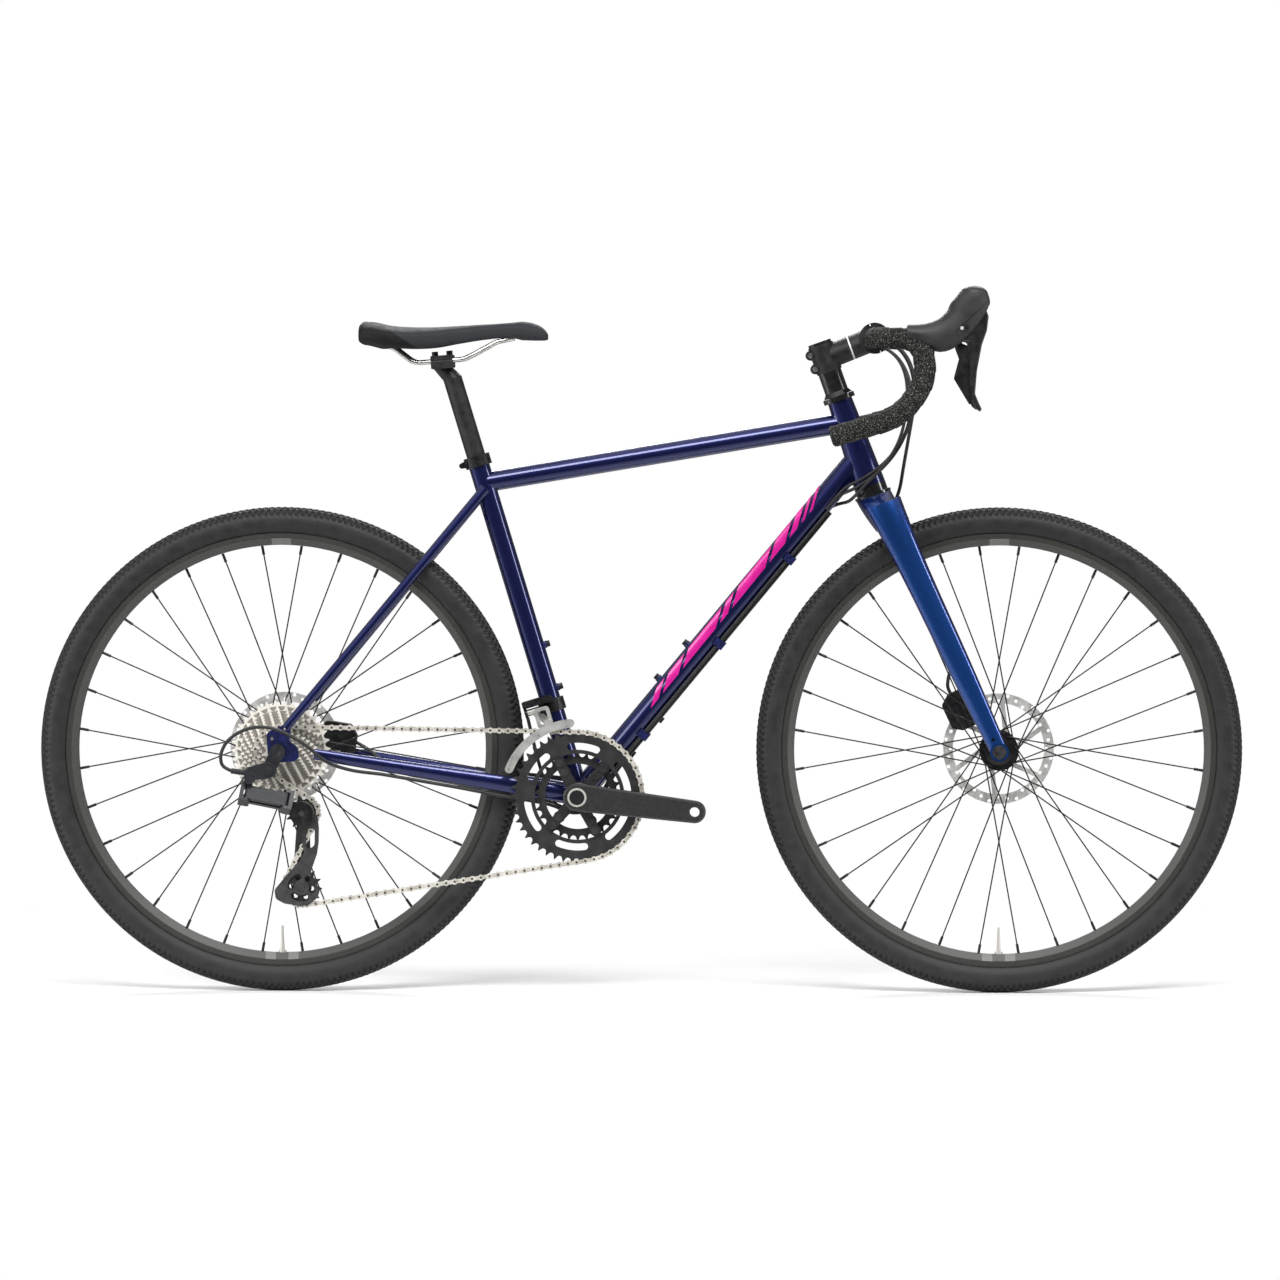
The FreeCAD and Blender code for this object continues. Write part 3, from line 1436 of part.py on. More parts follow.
# Seatpost with a two-bolt head, and the clamp round the seat tube
post_above_tube = 120.0
post_in_tube = 110.0
post_wall = 2.6
post_neck = 12.0
rail_radius = 3.5
rail_spread = 22.0
rail_gap = 0.3
cradle_half_length = 16.0
cradle_half_width = 28.0
cradle_depth = 9.0
cradle_split = 1.0
upper_plate_height = 7.0
head_half_length = 14.0
head_half_width = 13.0
head_bolt_reach = 10.5
head_bolt_radius = 2.5
head_bolt_head = 4.6
head_bolt_head_height = 6.0
post_top = seat_top + seat_up * post_above_tube
clamp_back = 14.0
clamp_up = 25.0
clamp_slope = 4.4
cradle_centre = post_top + vec(-clamp_back, 0, clamp_up)
cradle_way = turned(clamp_slope)
cradle_over = turned(90 + clamp_slope)


def cradle_point(along, over, y=0.0):
    return sideways(cradle_centre + cradle_way * along + cradle_over * over, y)


def cradle_box(low, high, half_length, half_width):
    corners = [cradle_point(-half_length, low), cradle_point(half_length, low),
               cradle_point(half_length, high), cradle_point(-half_length, high)]
    return slab(corners, overrun, -half_width, half_width)


def seatpost():
    foot = seat_top - seat_up * post_in_tube
    post = pipe(foot, post_top - seat_up * post_neck, seatpost_radius, seatpost_radius - post_wall)
    floor = cradle_point(0, -cradle_depth)
    neck = ruled_loft([
        oval(post_top - seat_up * post_neck, seat_ahead, vec(0, 1, 0), seatpost_radius, seatpost_radius),
        oval(post_top, seat_ahead, vec(0, 1, 0), seatpost_radius, seatpost_radius),
        oval(floor - cradle_over * overrun, cradle_way, vec(0, 1, 0), head_half_length, head_half_width)])
    lower = cradle_box(-cradle_depth - overrun, -cradle_split, cradle_half_length, cradle_half_width)
    upper = cradle_box(cradle_split, cradle_split + upper_plate_height, cradle_half_length, cradle_half_width)
    body = fused([post, neck, lower])
    bolts = []
    for along in (-head_bolt_reach, head_bolt_reach):
        foot = cradle_point(along, -cradle_depth)
        seat = cradle_point(along, cradle_split + upper_plate_height)
        hole = rod(foot, seat + cradle_over * overrun, head_bolt_radius + running_gap)
        body = body.cut(hole)
        upper = upper.cut(hole)
        bolts.append(fused([rod(foot, seat, head_bolt_radius),
                            rod(seat, seat + cradle_over * head_bolt_head_height, head_bolt_head)]))
    for side in (left, right):
        groove = rail_block(side, rail_radius + running_gap)
        body = body.cut(groove)
        upper = upper.cut(groove)
    return Part.makeCompound([body, upper] + bolts)


seat_clamp_height = 16.0
seat_clamp_wall = 4.0
seat_clamp_lip = 3.0
seat_clamp_ear = 8.0
seat_clamp_ear_half_width = 11.0


def seat_clamp():
    """Band round the seat tube's top, an inward lip over its edge and a bolt behind."""
    low = seat_top - seat_up * (seat_clamp_height - seat_clamp_lip)
    high = seat_top + seat_up * seat_clamp_lip
    outer = seat_tube_radius + seat_clamp_wall
    band = rod(low, high, outer)
    ear_place = (low + high) / 2 + seat_back * (outer + seat_clamp_ear / 2)
    wide = seat_clamp_ear_half_width
    ear = capsule(ear_place, seat_clamp_ear / 2, (low + high) / 2, seat_clamp_ear, -wide, wide)
    bolt_head = disc(ear_place, seat_clamp_ear / 2, -wide - overrun, wide + overrun)
    body = fused([band, ear, bolt_head])
    body = body.cut(rod(low - seat_up * overrun, seat_top, seat_tube_radius))
    return body.cut(rod(low, high + seat_up * overrun, seatpost_radius + running_gap))


# Saddle: padded top on two bent rails
saddle_half_width = 70.0
saddle_depth = 40.0
saddle_behind_cradle = 119.0
saddle_above_cradle = 57.0
saddle_edge_share = 0.82
saddle_foot_share = 0.9
# Each row: along, half width, then top, edge and underside below the highest line
saddle_shares = ((0.0, 0.52, 0.14, 0.42, 0.72), (0.05, 0.88, 0.02, 0.34, 0.84), (0.17, 1.0, 0.1, 0.42, 0.93),
                 (0.36, 0.8, 0.17, 0.44, 1.02), (0.55, 0.5, 0.11, 0.34, 0.86), (0.75, 0.32, 0.01, 0.2, 0.69),
                 (0.92, 0.27, 0.02, 0.2, 0.66), (1.0, 0.13, 0.32, 0.42, 0.64))
saddle_rear = cradle_centre + vec(-saddle_behind_cradle, 0, saddle_above_cradle)
rail_bend = 25.0
# Each row: along, out and up from the cradle
rail_route_shares = ((-0.335, 1.25, 0.97), (-0.24, 1.12, 0.52), (-0.15, 1.0, -0.104), (0.115, 1.0, 0.08),
                     (0.165, 0.95, 0.3), (0.29, 0.6, 0.92), (0.38, 0.5, 1.08))
rail_height = 30.0


def saddle_section(along, wide, top, edge, foot):
    half = wide * saddle_half_width
    place = saddle_rear + vec(along * saddle_length, 0, 0)

    def at(y_share, drop):
        return vec(place.x, y_share * half, place.z - drop * saddle_depth)

    middle = (edge + foot) / 2
    edges = [Part.makeLine(at(-saddle_foot_share, foot), at(saddle_foot_share, foot)),
             Part.Arc(at(saddle_foot_share, foot), at(1, middle), at(saddle_edge_share, edge)).toShape(),
             Part.Arc(at(saddle_edge_share, edge), at(0, top), at(-saddle_edge_share, edge)).toShape(),
             Part.Arc(at(-saddle_edge_share, edge), at(-1, middle), at(-saddle_foot_share, foot)).toShape()]
    return Part.Wire(edges)


def rail_points(side):
    return [cradle_centre + vec(a * saddle_length, side * b * rail_spread, c * rail_height)
            for a, b, c in rail_route_shares]


def rail_block(side, radius):
    return swept(rail_points(side), rail_bend, radius)


def saddle():
    body = loft([saddle_section(*row) for row in saddle_shares])
    for side in (left, right):
        body = body.cut(rail_block(side, rail_radius + running_gap))
    return body


def saddle_rails():
    return Part.makeCompound([rail_block(side, rail_radius) for side in (left, right)])


# Rear derailleur: hanger, swinging links, pulley cage and two pulleys
hanger_thickness = 6.0
hanger_top_radius = 11.0
hanger_bolt_radius = 9.0
hanger_bolt_back = 12.7
hanger_bolt_below = 26.0
knuckle_width = 13.5
knuckle_top_radius = 12.0
knuckle_pivot_radius = 9.5
knuckle_foot_radius = 7.0
knuckle_back = 37.7
knuckle_below = 31.0
barrel_radius = 4.0
barrel_length = 13.0
barrel_back = 66.0
barrel_below = 27.0
link_back = 42.5
link_below = 58.0
link_out = 91.0
link_run_ahead = 54.0
link_run_in = 4.0
link_run_below = 11.0
shift_way = vec(-0.166, 1.0, -0.45)
link_half_thickness = 4.0
link_half_height = 10.0
link_pin_radius = 1.9
link_spacing = 14.0
lug_radius = 5.0
lug_thickness = 4.0
web_from = 5.6
web_thickness = 5.5
hanger_face = rear_spacing / 2 + dropout_thickness
hanger_bolt = rear_axle + vec(-hanger_bolt_back, 0, -hanger_bolt_below)
knuckle_pivot = rear_axle + vec(-knuckle_back, 0, -knuckle_below)
link_foot = rear_axle + vec(-link_back, -link_out, -link_below)
link_run = vec(link_run_ahead, link_run_in, -link_run_below)
shift_axis = unit(link_run.cross(shift_way))
link_way = unit(link_run)
link_side = link_way.cross(shift_axis)
link_length = link_run.Length
knuckle_face = hanger_face + hanger_thickness + side_gap


def in_links(shape):
    """Place a shape drawn with the link along X and its pins along Y."""
    turn = FreeCAD.Rotation(link_way, shift_axis, link_side, "XYZ")
    placed = shape.copy()
    placed.Placement = FreeCAD.Placement(link_foot, turn)
    return placed


def derailleur_link(offset):
    place = vec(0, 0, offset)
    tip = vec(link_length, 0, offset)
    half = link_half_height
    plate = capsule(place, link_half_thickness, tip, link_half_thickness, -half, half)
    for pin in (place, tip):
        plate = drilled(plate, pin, link_pin_radius + running_gap, -half, half)
    return in_links(plate)


def link_lugs(x, web_x):
    """Two lugs with pins for both links, joined by an upright web."""
    near = vec(x, 0, 0)
    far = vec(x, 0, link_inner_offset)
    inner = link_half_height + side_gap
    outer = inner + lug_thickness
    pieces = [capsule(near, lug_radius, far, lug_radius, inner, outer),
              capsule(near, lug_radius, far, lug_radius, -outer, -inner)]
    for pin in (near, far):
        pieces.append(disc(pin, link_pin_radius, -outer, outer))
    low = min(0, link_inner_offset) - lug_radius
    high = max(0, link_inner_offset) + lug_radius
    web_ends = sorted((web_x, web_x + math.copysign(web_thickness, web_x - x)))
    web = Part.makeBox(web_ends[1] - web_ends[0], 2 * outer, high - low, vec(web_ends[0], -outer, low))
    ends = sorted((x, web_ends[0] if web_x < x else web_ends[1]))
    for foot in (inner, -outer):
        pieces.append(Part.makeBox(ends[1] - ends[0], lug_thickness, high - low, vec(ends[0], foot, low)))
    return in_links(fused(pieces + [web]))


link_inner_offset = math.copysign(link_spacing, link_side.y)


def rear_derailleur_mount():
    outer_face = hanger_face + hanger_thickness
    hanger = capsule(rear_axle, hanger_top_radius, hanger_bolt, hanger_bolt_radius, -outer_face, -hanger_face)
    hanger = drilled(hanger, rear_axle, axle_radius + running_gap, -outer_face, -hanger_face)
    knuckle_to = knuckle_face + knuckle_width
    top = link_foot + shift_axis * (link_half_height + side_gap + lug_thickness + knuckle_foot_radius)
    barrel_end = rear_axle + vec(-barrel_back, -(knuckle_face + knuckle_width / 2), -barrel_below)
    barrel_root = sideways(knuckle_pivot, barrel_end.y)
    knuckle = fused([
        capsule(hanger_bolt, knuckle_top_radius, knuckle_pivot, knuckle_pivot_radius, -knuckle_to, -knuckle_face),
        capsule(knuckle_pivot, knuckle_pivot_radius, sideways(top, 0), knuckle_foot_radius,
                -knuckle_to, -knuckle_face),
        rod(barrel_end, barrel_root, barrel_radius), link_lugs(0.0, -web_from)])
    bolt = disc(hanger_bolt, knuckle_foot_radius, -knuckle_to - overrun, -knuckle_to)
    return Part.makeCompound([hanger, knuckle.fuse(bolt)])


clutch_radius = 17.0
clutch_inner = 58.5
clutch_outer = 82.0
cage_shaft_radius = 4.0
cage_plate_thickness = 1.5
cage_outer_face = 6.3
cage_inner_face = 4.8
pulley_bolt_radius = 2.5
pulley_bolt_head = 4.5
pulley_hub_radius = 7.0
pulley_hub_half = 4.4
pulley_thickness = 2.0
cage_corner = 7.0
cage_outline_shares = (
    (-0.1, 1.02), (-0.05, 0.84), (0.0, 0.6), (0.03, 0.47), (-0.05, 0.33), (-0.22, 0.14), (-0.36, -0.04),
    (-0.34, -0.16), (-0.22, -0.22), (0.0, -0.25), (0.12, -0.22), (0.22, -0.13), (0.25, -0.02),
    (0.12, 0.12), (0.13, 0.24), (0.2, 0.45), (0.22, 0.6), (0.22, 0.8), (0.2, 0.95), (0.12, 1.07), (0.0, 1.1))
cage_upper_window_shares = ((0.055, 0.5), (0.05, 0.78), (0.165, 0.8), (0.165, 0.56))
cage_slot_radius = 15.5
cage_slot_half = 4.6
cage_slot_sweep = 33.0
cage_slot_angles = (20.0, 140.0, 260.0)
pulley_hole_count = 6
cage_up = unit(guide_pulley_axle - tension_axle)
cage_ahead = vec(cage_up.z, 0, -cage_up.x)


def rd_p_knuckle():
    body = disc(guide_pulley_axle, clutch_radius, -clutch_outer, -clutch_inner)
    body = fused([body, link_lugs(link_length, link_length + web_from)])
    return drilled(body, guide_pulley_axle, cage_shaft_radius + running_gap, -clutch_outer, -clutch_inner)


def rd_cage():
    """Two side plates joined by the pulley bolts, with the shaft that turns in the knuckle."""
    outer_to = -chain_line - cage_outer_face
    outer_from = outer_to + cage_plate_thickness
    inner_from = -chain_line + cage_inner_face
    inner_to = inner_from + cage_plate_thickness

    def shape(shares):
        return placed_shares(tension_axle, cage_ahead, cage_up, cage_length, shares)

    outer = slab(shape(cage_outline_shares), cage_corner, outer_to, outer_from)
    outer = outer.cut(slab(shape(cage_upper_window_shares), cage_corner, outer_to, outer_from))
    for angle in cage_slot_angles:
        outer = outer.cut(arc_slot(tension_axle, cage_slot_radius, cage_slot_half, angle, cage_slot_sweep,
                                   outer_to, outer_from))
    inner = capsule(guide_pulley_axle, clutch_radius / 2, tension_axle, pulley_hub_radius * 2,
                    inner_from, inner_to)
    bolts = [disc(axle, pulley_bolt_radius, outer_to, inner_to) for axle in (guide_pulley_axle, tension_axle)]
    heads = [disc(tension_axle, pulley_bolt_head, outer_to - overrun, outer_to)]
    shaft = disc(guide_pulley_axle, cage_shaft_radius, -clutch_outer, outer_from)
    return fused([outer, inner, shaft] + bolts + heads)


def pulley(centre, teeth):
    phase = phase_on(centre, teeth)
    holes = hole_ring(centre, -chain_line - pulley_thickness / 2, pulley_hub_radius, teeth, phase,
                      pulley_hole_count)
    wheel = sprocket(centre, teeth, phase, -chain_line, pulley_thickness, pulley_bolt_radius, holes)
    hub = disc(centre, pulley_hub_radius, -chain_line - pulley_hub_half, -chain_line + pulley_hub_half)
    bore = pulley_bolt_radius + running_gap
    return drilled(wheel.fuse(hub), centre, bore, -chain_line - pulley_hub_half, -chain_line + pulley_hub_half)


# Front derailleur: band on the seat tube and a cage over the chain
band_up = 135.0
band_height = 18.0
band_wall = 4.0
fd_back = 26.0
fd_out = 30.0
fd_barrel_radius = 5.0
fd_barrel_half = 9.0
fd_lug_radius = 6.5
fd_lug_thickness = 4.0
fd_web_low = 6.6
fd_web_high = 17.0
fd_web_half = 8.0
fd_cage_radius = 106.0
fd_cage_half = 6.0
fd_cage_angle = 127.0
fd_cage_sweep = 31.0
fd_bridge_radius = 114.5
fd_bridge_angle = 112.0
fd_bridge_half = 5.5
fd_tail_angle = 157.0
fd_tail_half = 4.0
fd_plate_thickness = 1.3
fd_outer_face = 7.3
fd_inner_face = 5.8
fd_loop_half_width = 11.5
fd_loop_half_height = 15.0
fd_loop_ahead = 11.6
fd_loop_below = 11.9
fd_loop_bar = 5.2
fd_loop_out = 10.5
fd_loop_thickness = 3.4
fd_pivot = sideways(bottom_bracket + seat_up * band_up + seat_back * fd_back, -fd_out)


def front_derailleur_body():
    low = bottom_bracket + seat_up * (band_up - band_height / 2)
    high = bottom_bracket + seat_up * (band_up + band_height / 2)
    band = rod(low, high, seat_tube_radius + band_wall)
    reach = fd_barrel_half + side_gap
    pieces = [band]
    for way in (seat_back, seat_ahead):
        pieces.append(rod(fd_pivot + way * reach, fd_pivot + way * (reach + fd_lug_thickness), fd_lug_radius))
    end = seat_back * (reach + fd_lug_thickness)
    pieces.append(rod(fd_pivot - end, fd_pivot + end, pulley_bolt_radius))
    base = sideways(fd_pivot, 0)
    corners = [base - end + seat_up * fd_web_low, base + end + seat_up * fd_web_low,
               base + end + seat_up * fd_web_high, base - end + seat_up * fd_web_high]
    pieces.append(slab(corners, overrun, -fd_out - fd_web_half, -seat_tube_radius - overrun))
    arm_end = bottom_bracket + seat_up * (band_up + fd_web_high * 2 / 3)
    arm = capsule(base + seat_up * (fd_web_low + fd_web_high) / 2, fd_barrel_radius - overrun / 2, arm_end,
                  fd_barrel_radius, -fd_out, -seat_tube_radius / 2)
    return fused(pieces + [arm]).cut(seat_tube_block)


def around_bracket(angle, radius):
    return bottom_bracket + turned(angle) * radius


def fd_loop():
    """Open rectangular link plate between the pivot and the cage."""
    middle = fd_pivot + seat_ahead * fd_loop_ahead - seat_up * fd_loop_below
    near = -fd_out - fd_loop_out

    def corners(inset):
        wide = seat_ahead * (fd_loop_half_width - inset)
        high = seat_up * (fd_loop_half_height - inset)
        return [sideways(middle + a * wide + b * high, 0) for a, b in ((-1, -1), (1, -1), (1, 1), (-1, 1))]

    plate = slab(corners(0.0), fd_loop_bar, near - fd_loop_thickness, near)
    return plate.cut(slab(corners(fd_loop_bar), fd_loop_bar / 2, near - fd_loop_thickness, near))


def fd_cage():
    outer_to = -chain_line - fd_outer_face
    inner_from = -chain_line + fd_inner_face
    plates = []
    for face in (outer_to, inner_from):
        plates.append(arc_slot(bottom_bracket, fd_cage_radius, fd_cage_half, fd_cage_angle, fd_cage_sweep,
                               face, face + fd_plate_thickness))
    bridge = around_bracket(fd_bridge_angle, fd_bridge_radius)
    tail = around_bracket(fd_tail_angle, fd_cage_radius)
    arm_from = -fd_out - fd_barrel_radius / 2
    arm_to = -fd_out + fd_barrel_radius / 2
    pieces = plates + [
        fd_loop(),
        disc(bridge, fd_bridge_half, outer_to, arm_to),
        disc(tail, fd_tail_half, outer_to, inner_from),
        capsule(sideways(fd_pivot, 0), fd_barrel_radius, bridge, fd_bridge_half, arm_from, arm_to)]
    half = seat_back * fd_barrel_half
    body = fused(pieces)
    for way in (half, half * -1):
        body = body.cut(rod(fd_pivot + way, fd_pivot + way * 2, fd_lug_radius + side_gap))
    body = body.fuse(rod(fd_pivot - half, fd_pivot + half, fd_barrel_radius))
    return body.cut(rod(fd_pivot - half * 2, fd_pivot + half * 2, pulley_bolt_radius + running_gap))


# Disc brakes: one caliper and a pair of pads on each rotor
caliper_length = 56.0
caliper_height = 33.0
caliper_inner = 12.0
caliper_outer = 15.0
caliper_corner = 5.0
caliper_outline_shares = ((-0.5, -0.2), (-0.5, 0.6), (-0.34, 1.0), (0.3, 1.0), (0.5, 0.55), (0.5, -0.2))
rotor_slot_half = 4.4
rotor_slot_gap = 1.5
front_caliper_up = 74.0
leg_half_depth = 15.0
rear_caliper_ahead = 74.0
rear_caliper_up = 3.0
pad_half_length = 11.0
pad_inner_radius = 64.5
pad_outer_radius = 79.5
pad_gap = 0.35
pad_back_gap = 0.15
caliper_bolt_radius = 3.4
fork_way = unit(on_steerer(fork_height / 2, leg_ahead(fork_height / 2)) - front_axle)
fork_rearward = vec(-fork_way.z, 0, fork_way.x)
front_caliper_foot = front_axle + fork_way * front_caliper_up + fork_rearward * leg_half_depth
stay_way = unit(chainstay_end - bottom_bracket) * -1
stay_over = vec(-stay_way.z, 0, stay_way.x)
rear_caliper_foot = rear_axle + vec(rear_caliper_ahead, 0, rear_caliper_up)


def caliper_block(axle, rotor_y, foot, along, over):
    """Block with a slot for the rotor; its length lies along the leg or stay."""
    corners = [foot + along * (a * caliper_length) + over * (b * caliper_height)
               for a, b in caliper_outline_shares]
    block = slab(corners, caliper_corner, rotor_y - caliper_inner, rotor_y + caliper_outer)
    for a in (-0.5 * run_share, 0.5 * run_share):
        place = foot + along * (a * caliper_length) + over * (caliper_height / 2)
        block = block.fuse(disc(place, caliper_bolt_radius, rotor_y, rotor_y + caliper_outer + overrun))
    slot = disc(axle, rotor_radius + rotor_slot_gap, rotor_y - rotor_slot_half, rotor_y + rotor_slot_half)
    return block.cut(slot)


def biggest(shape):
    return max(shape.Solids, key=lambda solid: solid.Volume)


def front_caliper():
    block = caliper_block(front_axle, front_rotor_y, front_caliper_foot, fork_way, fork_rearward)
    return biggest(block.cut(fused(fork_leg(left))))


def rear_caliper():
    block = caliper_block(rear_axle, rear_rotor_y, rear_caliper_foot, stay_way, stay_over)
    return biggest(block.cut(chainstay(left)).cut(seatstay_block(left)))


def pad(axle, rotor_y, foot, over, side):
    """Brake pad on one side of the rotor, just clear of it."""
    toward = unit(foot + over * (caliper_height / 3) - axle)
    across = vec(-toward.z, 0, toward.x)
    corners = [axle + toward * r + across * t
               for r, t in ((pad_inner_radius, -pad_half_length), (pad_inner_radius, pad_half_length),
                            (pad_outer_radius, pad_half_length), (pad_outer_radius, -pad_half_length))]
    near = rotor_y + side * (rotor_thickness / 2 + pad_gap)
    far = rotor_y + side * (rotor_slot_half - pad_back_gap)
    return slab(corners, overrun, min(near, far), max(near, far))


def front_pad(side):
    return pad(front_axle, front_rotor_y, front_caliper_foot, fork_rearward, side)


def rear_pad(side):
    return pad(rear_axle, rear_rotor_y, rear_caliper_foot, stay_over, side)


# Cables and hoses: routes are points picked by hand, joined by straight runs and tangent arcs
cable_bend = 200.0
cable_joint_gap = 0.9
cable_lead = 24.0
rear_hose_bar_route = ((347, -37.2, 931.4), (361, -36, 925), (377, -38, 910), (386, -39, 877), (384, -39, 838),
                       (376, -39, 798), (356, -40, 764), (330, -40, 738), (313, -34, 720), (304, -20, 710),
                       (296, -4, 706), (286, 7, 705))
rear_shift_bar_route = ((352, -37.2, 939), (368, -36, 934), (386, -34, 915), (396, -33, 880), (393, -33, 842),
                        (384, -33, 804), (362, -34, 768), (335, -34, 743), (310, -29, 727), (295, -18, 721))
front_shift_bar_route = ((347, 37.2, 931.4), (364, 34, 924), (381, 22, 905), (391, 6, 875), (391, -12, 840),
                         (384, -24, 806), (364, -30, 775), (338, -32, 751), (312, -29, 736), (297, -23, 731))
front_hose_route = ((352, 37.2, 939), (370, 37, 934), (388, 32, 912), (397, 28, 880), (394, 25, 840),
                    (387, 25, 800), (380, 27, 760), (374, 32, 722), (360, 38, 690))
rear_hose_stay_route = ((-66, 10, 264.5), (-96, 13, 256.5), (-128, 26, 272), (-160, 33, 278), (-210, 39, 287),
                        (-260, 46, 296), (-305, 49, 304), (-345, 49, 311), (-374, 51, 327), (-394, 55, 345))
rear_shift_stay_route = ((-66, -10, 264.5), (-96, -13, 256.5), (-128, -26, 272), (-160, -33, 278),
                         (-210, -39, 287), (-260, -46, 297), (-320, -55, 308), (-370, -63, 317), (-412, -70, 322),
                         (-447, -85, 334), (-472, -92, 357), (-498, -95, 374), (-523, -96, 385), (-549, -96, 387),
                         (-574, -96, 378), (-591, -95, 364), (-599, -94, 346), (-597, -93, 330))
front_shift_seat_route = ((-66, -3, 264), (-98, 0, 256.5), (-124, -2, 270), (-138, -8, 304), (-148, -16, 340))
hose_exit_share = 0.52
hose_exit_low = 112.0
hose_exit_back = 29.0
hose_exit_high = 142.0
hose_exit_bow = 20.0
fork_hose_y = 50.0
hose_caliper_share = 0.55


def route(points):
    return [vec(*point) for point in points]


def cord(points):
    """Round cable through route points."""
    return swept(points, cable_bend, cable_radius)


def control_cables():
    hose, rear_shift, front_shift = [ends[0] + down_along * cable_joint_gap for ends in down_tube_cables()]
    lead = down_along * cable_lead
    return [route(rear_hose_bar_route) + [hose],
            route(rear_shift_bar_route) + [rear_shift + lead, rear_shift],
            route(front_shift_bar_route) + [front_shift + lead, front_shift]]


def frame_cables():
    hose, rear_shift, front_shift = [list(ends) for ends in down_tube_cables()]
    caliper_end = rear_caliper_foot + stay_way * (caliper_length / 2) + stay_over * (caliper_height / 4)
    hose += route(rear_hose_stay_route) + [sideways(caliper_end, rear_rotor_y + caliper_inner / 4)]
    barrel_end = rear_axle + vec(-barrel_back, -(knuckle_face + knuckle_width / 2), -barrel_below)
    rear_shift += route(rear_shift_stay_route) + [barrel_end]
    lug = fd_pivot + seat_back * (fd_barrel_half + fd_lug_thickness / 2) - seat_up * fd_lug_radius
    front_shift += route(front_shift_seat_route) + [lug]
    return [hose, rear_shift, front_shift]


def front_hoses():
    """Hose from the bar into the fork, and its short exit to the caliper."""
    def at(up, back):
        return sideways(front_axle + fork_way * up + fork_rearward * back, fork_hose_y)

    exit_route = [at(hose_exit_high, 0.0), at((hose_exit_high + hose_exit_low) / 2, hose_exit_bow),
                  at(hose_exit_low, hose_exit_back), at(front_caliper_up + caliper_length / 2, hose_exit_back)]
    return [route(front_hose_route), exit_route]


def cords(routes):
    return Part.makeCompound([cord(points) for points in routes])


def front_brake_hose():
    whole_fork = fork()
    return Part.makeCompound([biggest(cord(points).cut(whole_fork)) for points in front_hoses()])


def frame_pieces():
    return {
        "head_tube": head_tube(),
        "top_tube": top_tube(),
        "down_tube": down_tube(),
        "seat_tube": seat_tube(),
        "bottom_bracket_shell": bottom_bracket_shell(),
        "chainstays": chainstays(),
        "seatstays": seatstays(),
        "frame_fittings": frame_fittings(),
        "frame_bolts": frame_bolts(),
        "bearing_cups": bearing_cups(),
        "seat_clamp": seat_clamp(),
        "rear_thru_axle": thru_axle(rear_axle, rear_spacing, hanger_face, left, -hanger_face - hanger_thickness),
        "rear_caliper": rear_caliper(),
        "frame_cables": cords(frame_cables()),
        "front_derailleur_body": front_derailleur_body(),
        "rear_derailleur_mount": rear_derailleur_mount(),
    }


def steering_pieces():
    fork_face = front_spacing / 2 + leg_end_width
    return {
        "fork": fork(),
        "headset_spacers": headset_spacers(),
        "stem": stem(),
        "steering_bolts": steering_bolts(),
        "handlebar": handlebar(),
        "bar_tape": bar_tape(),
        "brake_hoods": brake_hoods(),
        "front_caliper": front_caliper(),
        "front_brake_hose": front_brake_hose(),
        "front_thru_axle": thru_axle(front_axle, front_spacing, -fork_face, right, fork_face),
        "control_cables": cords(control_cables()),
    }


def wheel_pieces():
    return {
        "front_tyre": tyre(front_axle),
        "rear_tyre": tyre(rear_axle),
        "front_rim": rim(front_axle),
        "rear_rim": rim(rear_axle),
        "front_spokes": spokes(front_axle, front_flanges),
        "rear_spokes": spokes(rear_axle, rear_flanges),
        "front_hub": hub(front_axle, front_flanges, front_hub_ends, front_rotor_y),
        "rear_hub": hub(rear_axle, rear_flanges, rear_hub_ends, rear_rotor_y),
        "front_rotor": rotor(front_axle, front_rotor_y),
        "rear_rotor": rotor(rear_axle, rear_rotor_y),
    }


def drive_pieces():
    return {
        "chain": chain(),
        "cassette": cassette(),
        "crank_arm_right": crank_arm_right(),
        "crank_arm_left": crank_arm_left(),
        "chainrings": chainrings(),
        "rd_outer_link": derailleur_link(0.0),
        "rd_inner_link": derailleur_link(link_inner_offset),
        "rd_p_knuckle": rd_p_knuckle(),
        "rd_cage": rd_cage(),
        "guide_pulley": pulley(guide_pulley_axle, guide_teeth),
        "tension_pulley": pulley(tension_axle, tension_teeth),
        "fd_cage": fd_cage(),
    }


def control_pieces():
    lever = brake_lever(left)
    paddle = shift_paddle(left)
    return {
        "brake_lever_left": lever,
        "brake_lever_right": mirrored(lever),
        "shift_paddle_left": paddle,
        "shift_paddle_right": mirrored(paddle),
        "front_pad_inner": front_pad(right),
        "front_pad_outer": front_pad(left),
        "rear_pad_inner": rear_pad(right),
        "rear_pad_outer": rear_pad(left),
    }


def seat_pieces():
    return {
        "seatpost": seatpost(),
        "saddle": saddle(),
        "saddle_rails": saddle_rails(),
    }


def main():
    os.makedirs("parts", exist_ok=True)
    pieces = {}
    for group in (frame_pieces, steering_pieces, wheel_pieces, drive_pieces, control_pieces, seat_pieces):
        pieces.update(group())
    for name, shape in pieces.items():
        shape.exportStep("parts/%s.step" % name)
        print(name, len(shape.Solids), round(shape.Volume), shape.isValid())
    for name, routes in (("frame", frame_cables()), ("control", control_cables()), ("front hose", front_hoses())):
        print(name, "cable lengths", [round(path_wire(points, cable_bend).Length) for points in routes])
    print("chain links", chain_links, "cage lean", round(chain_lean, 2), "pieces", len(pieces))


main()
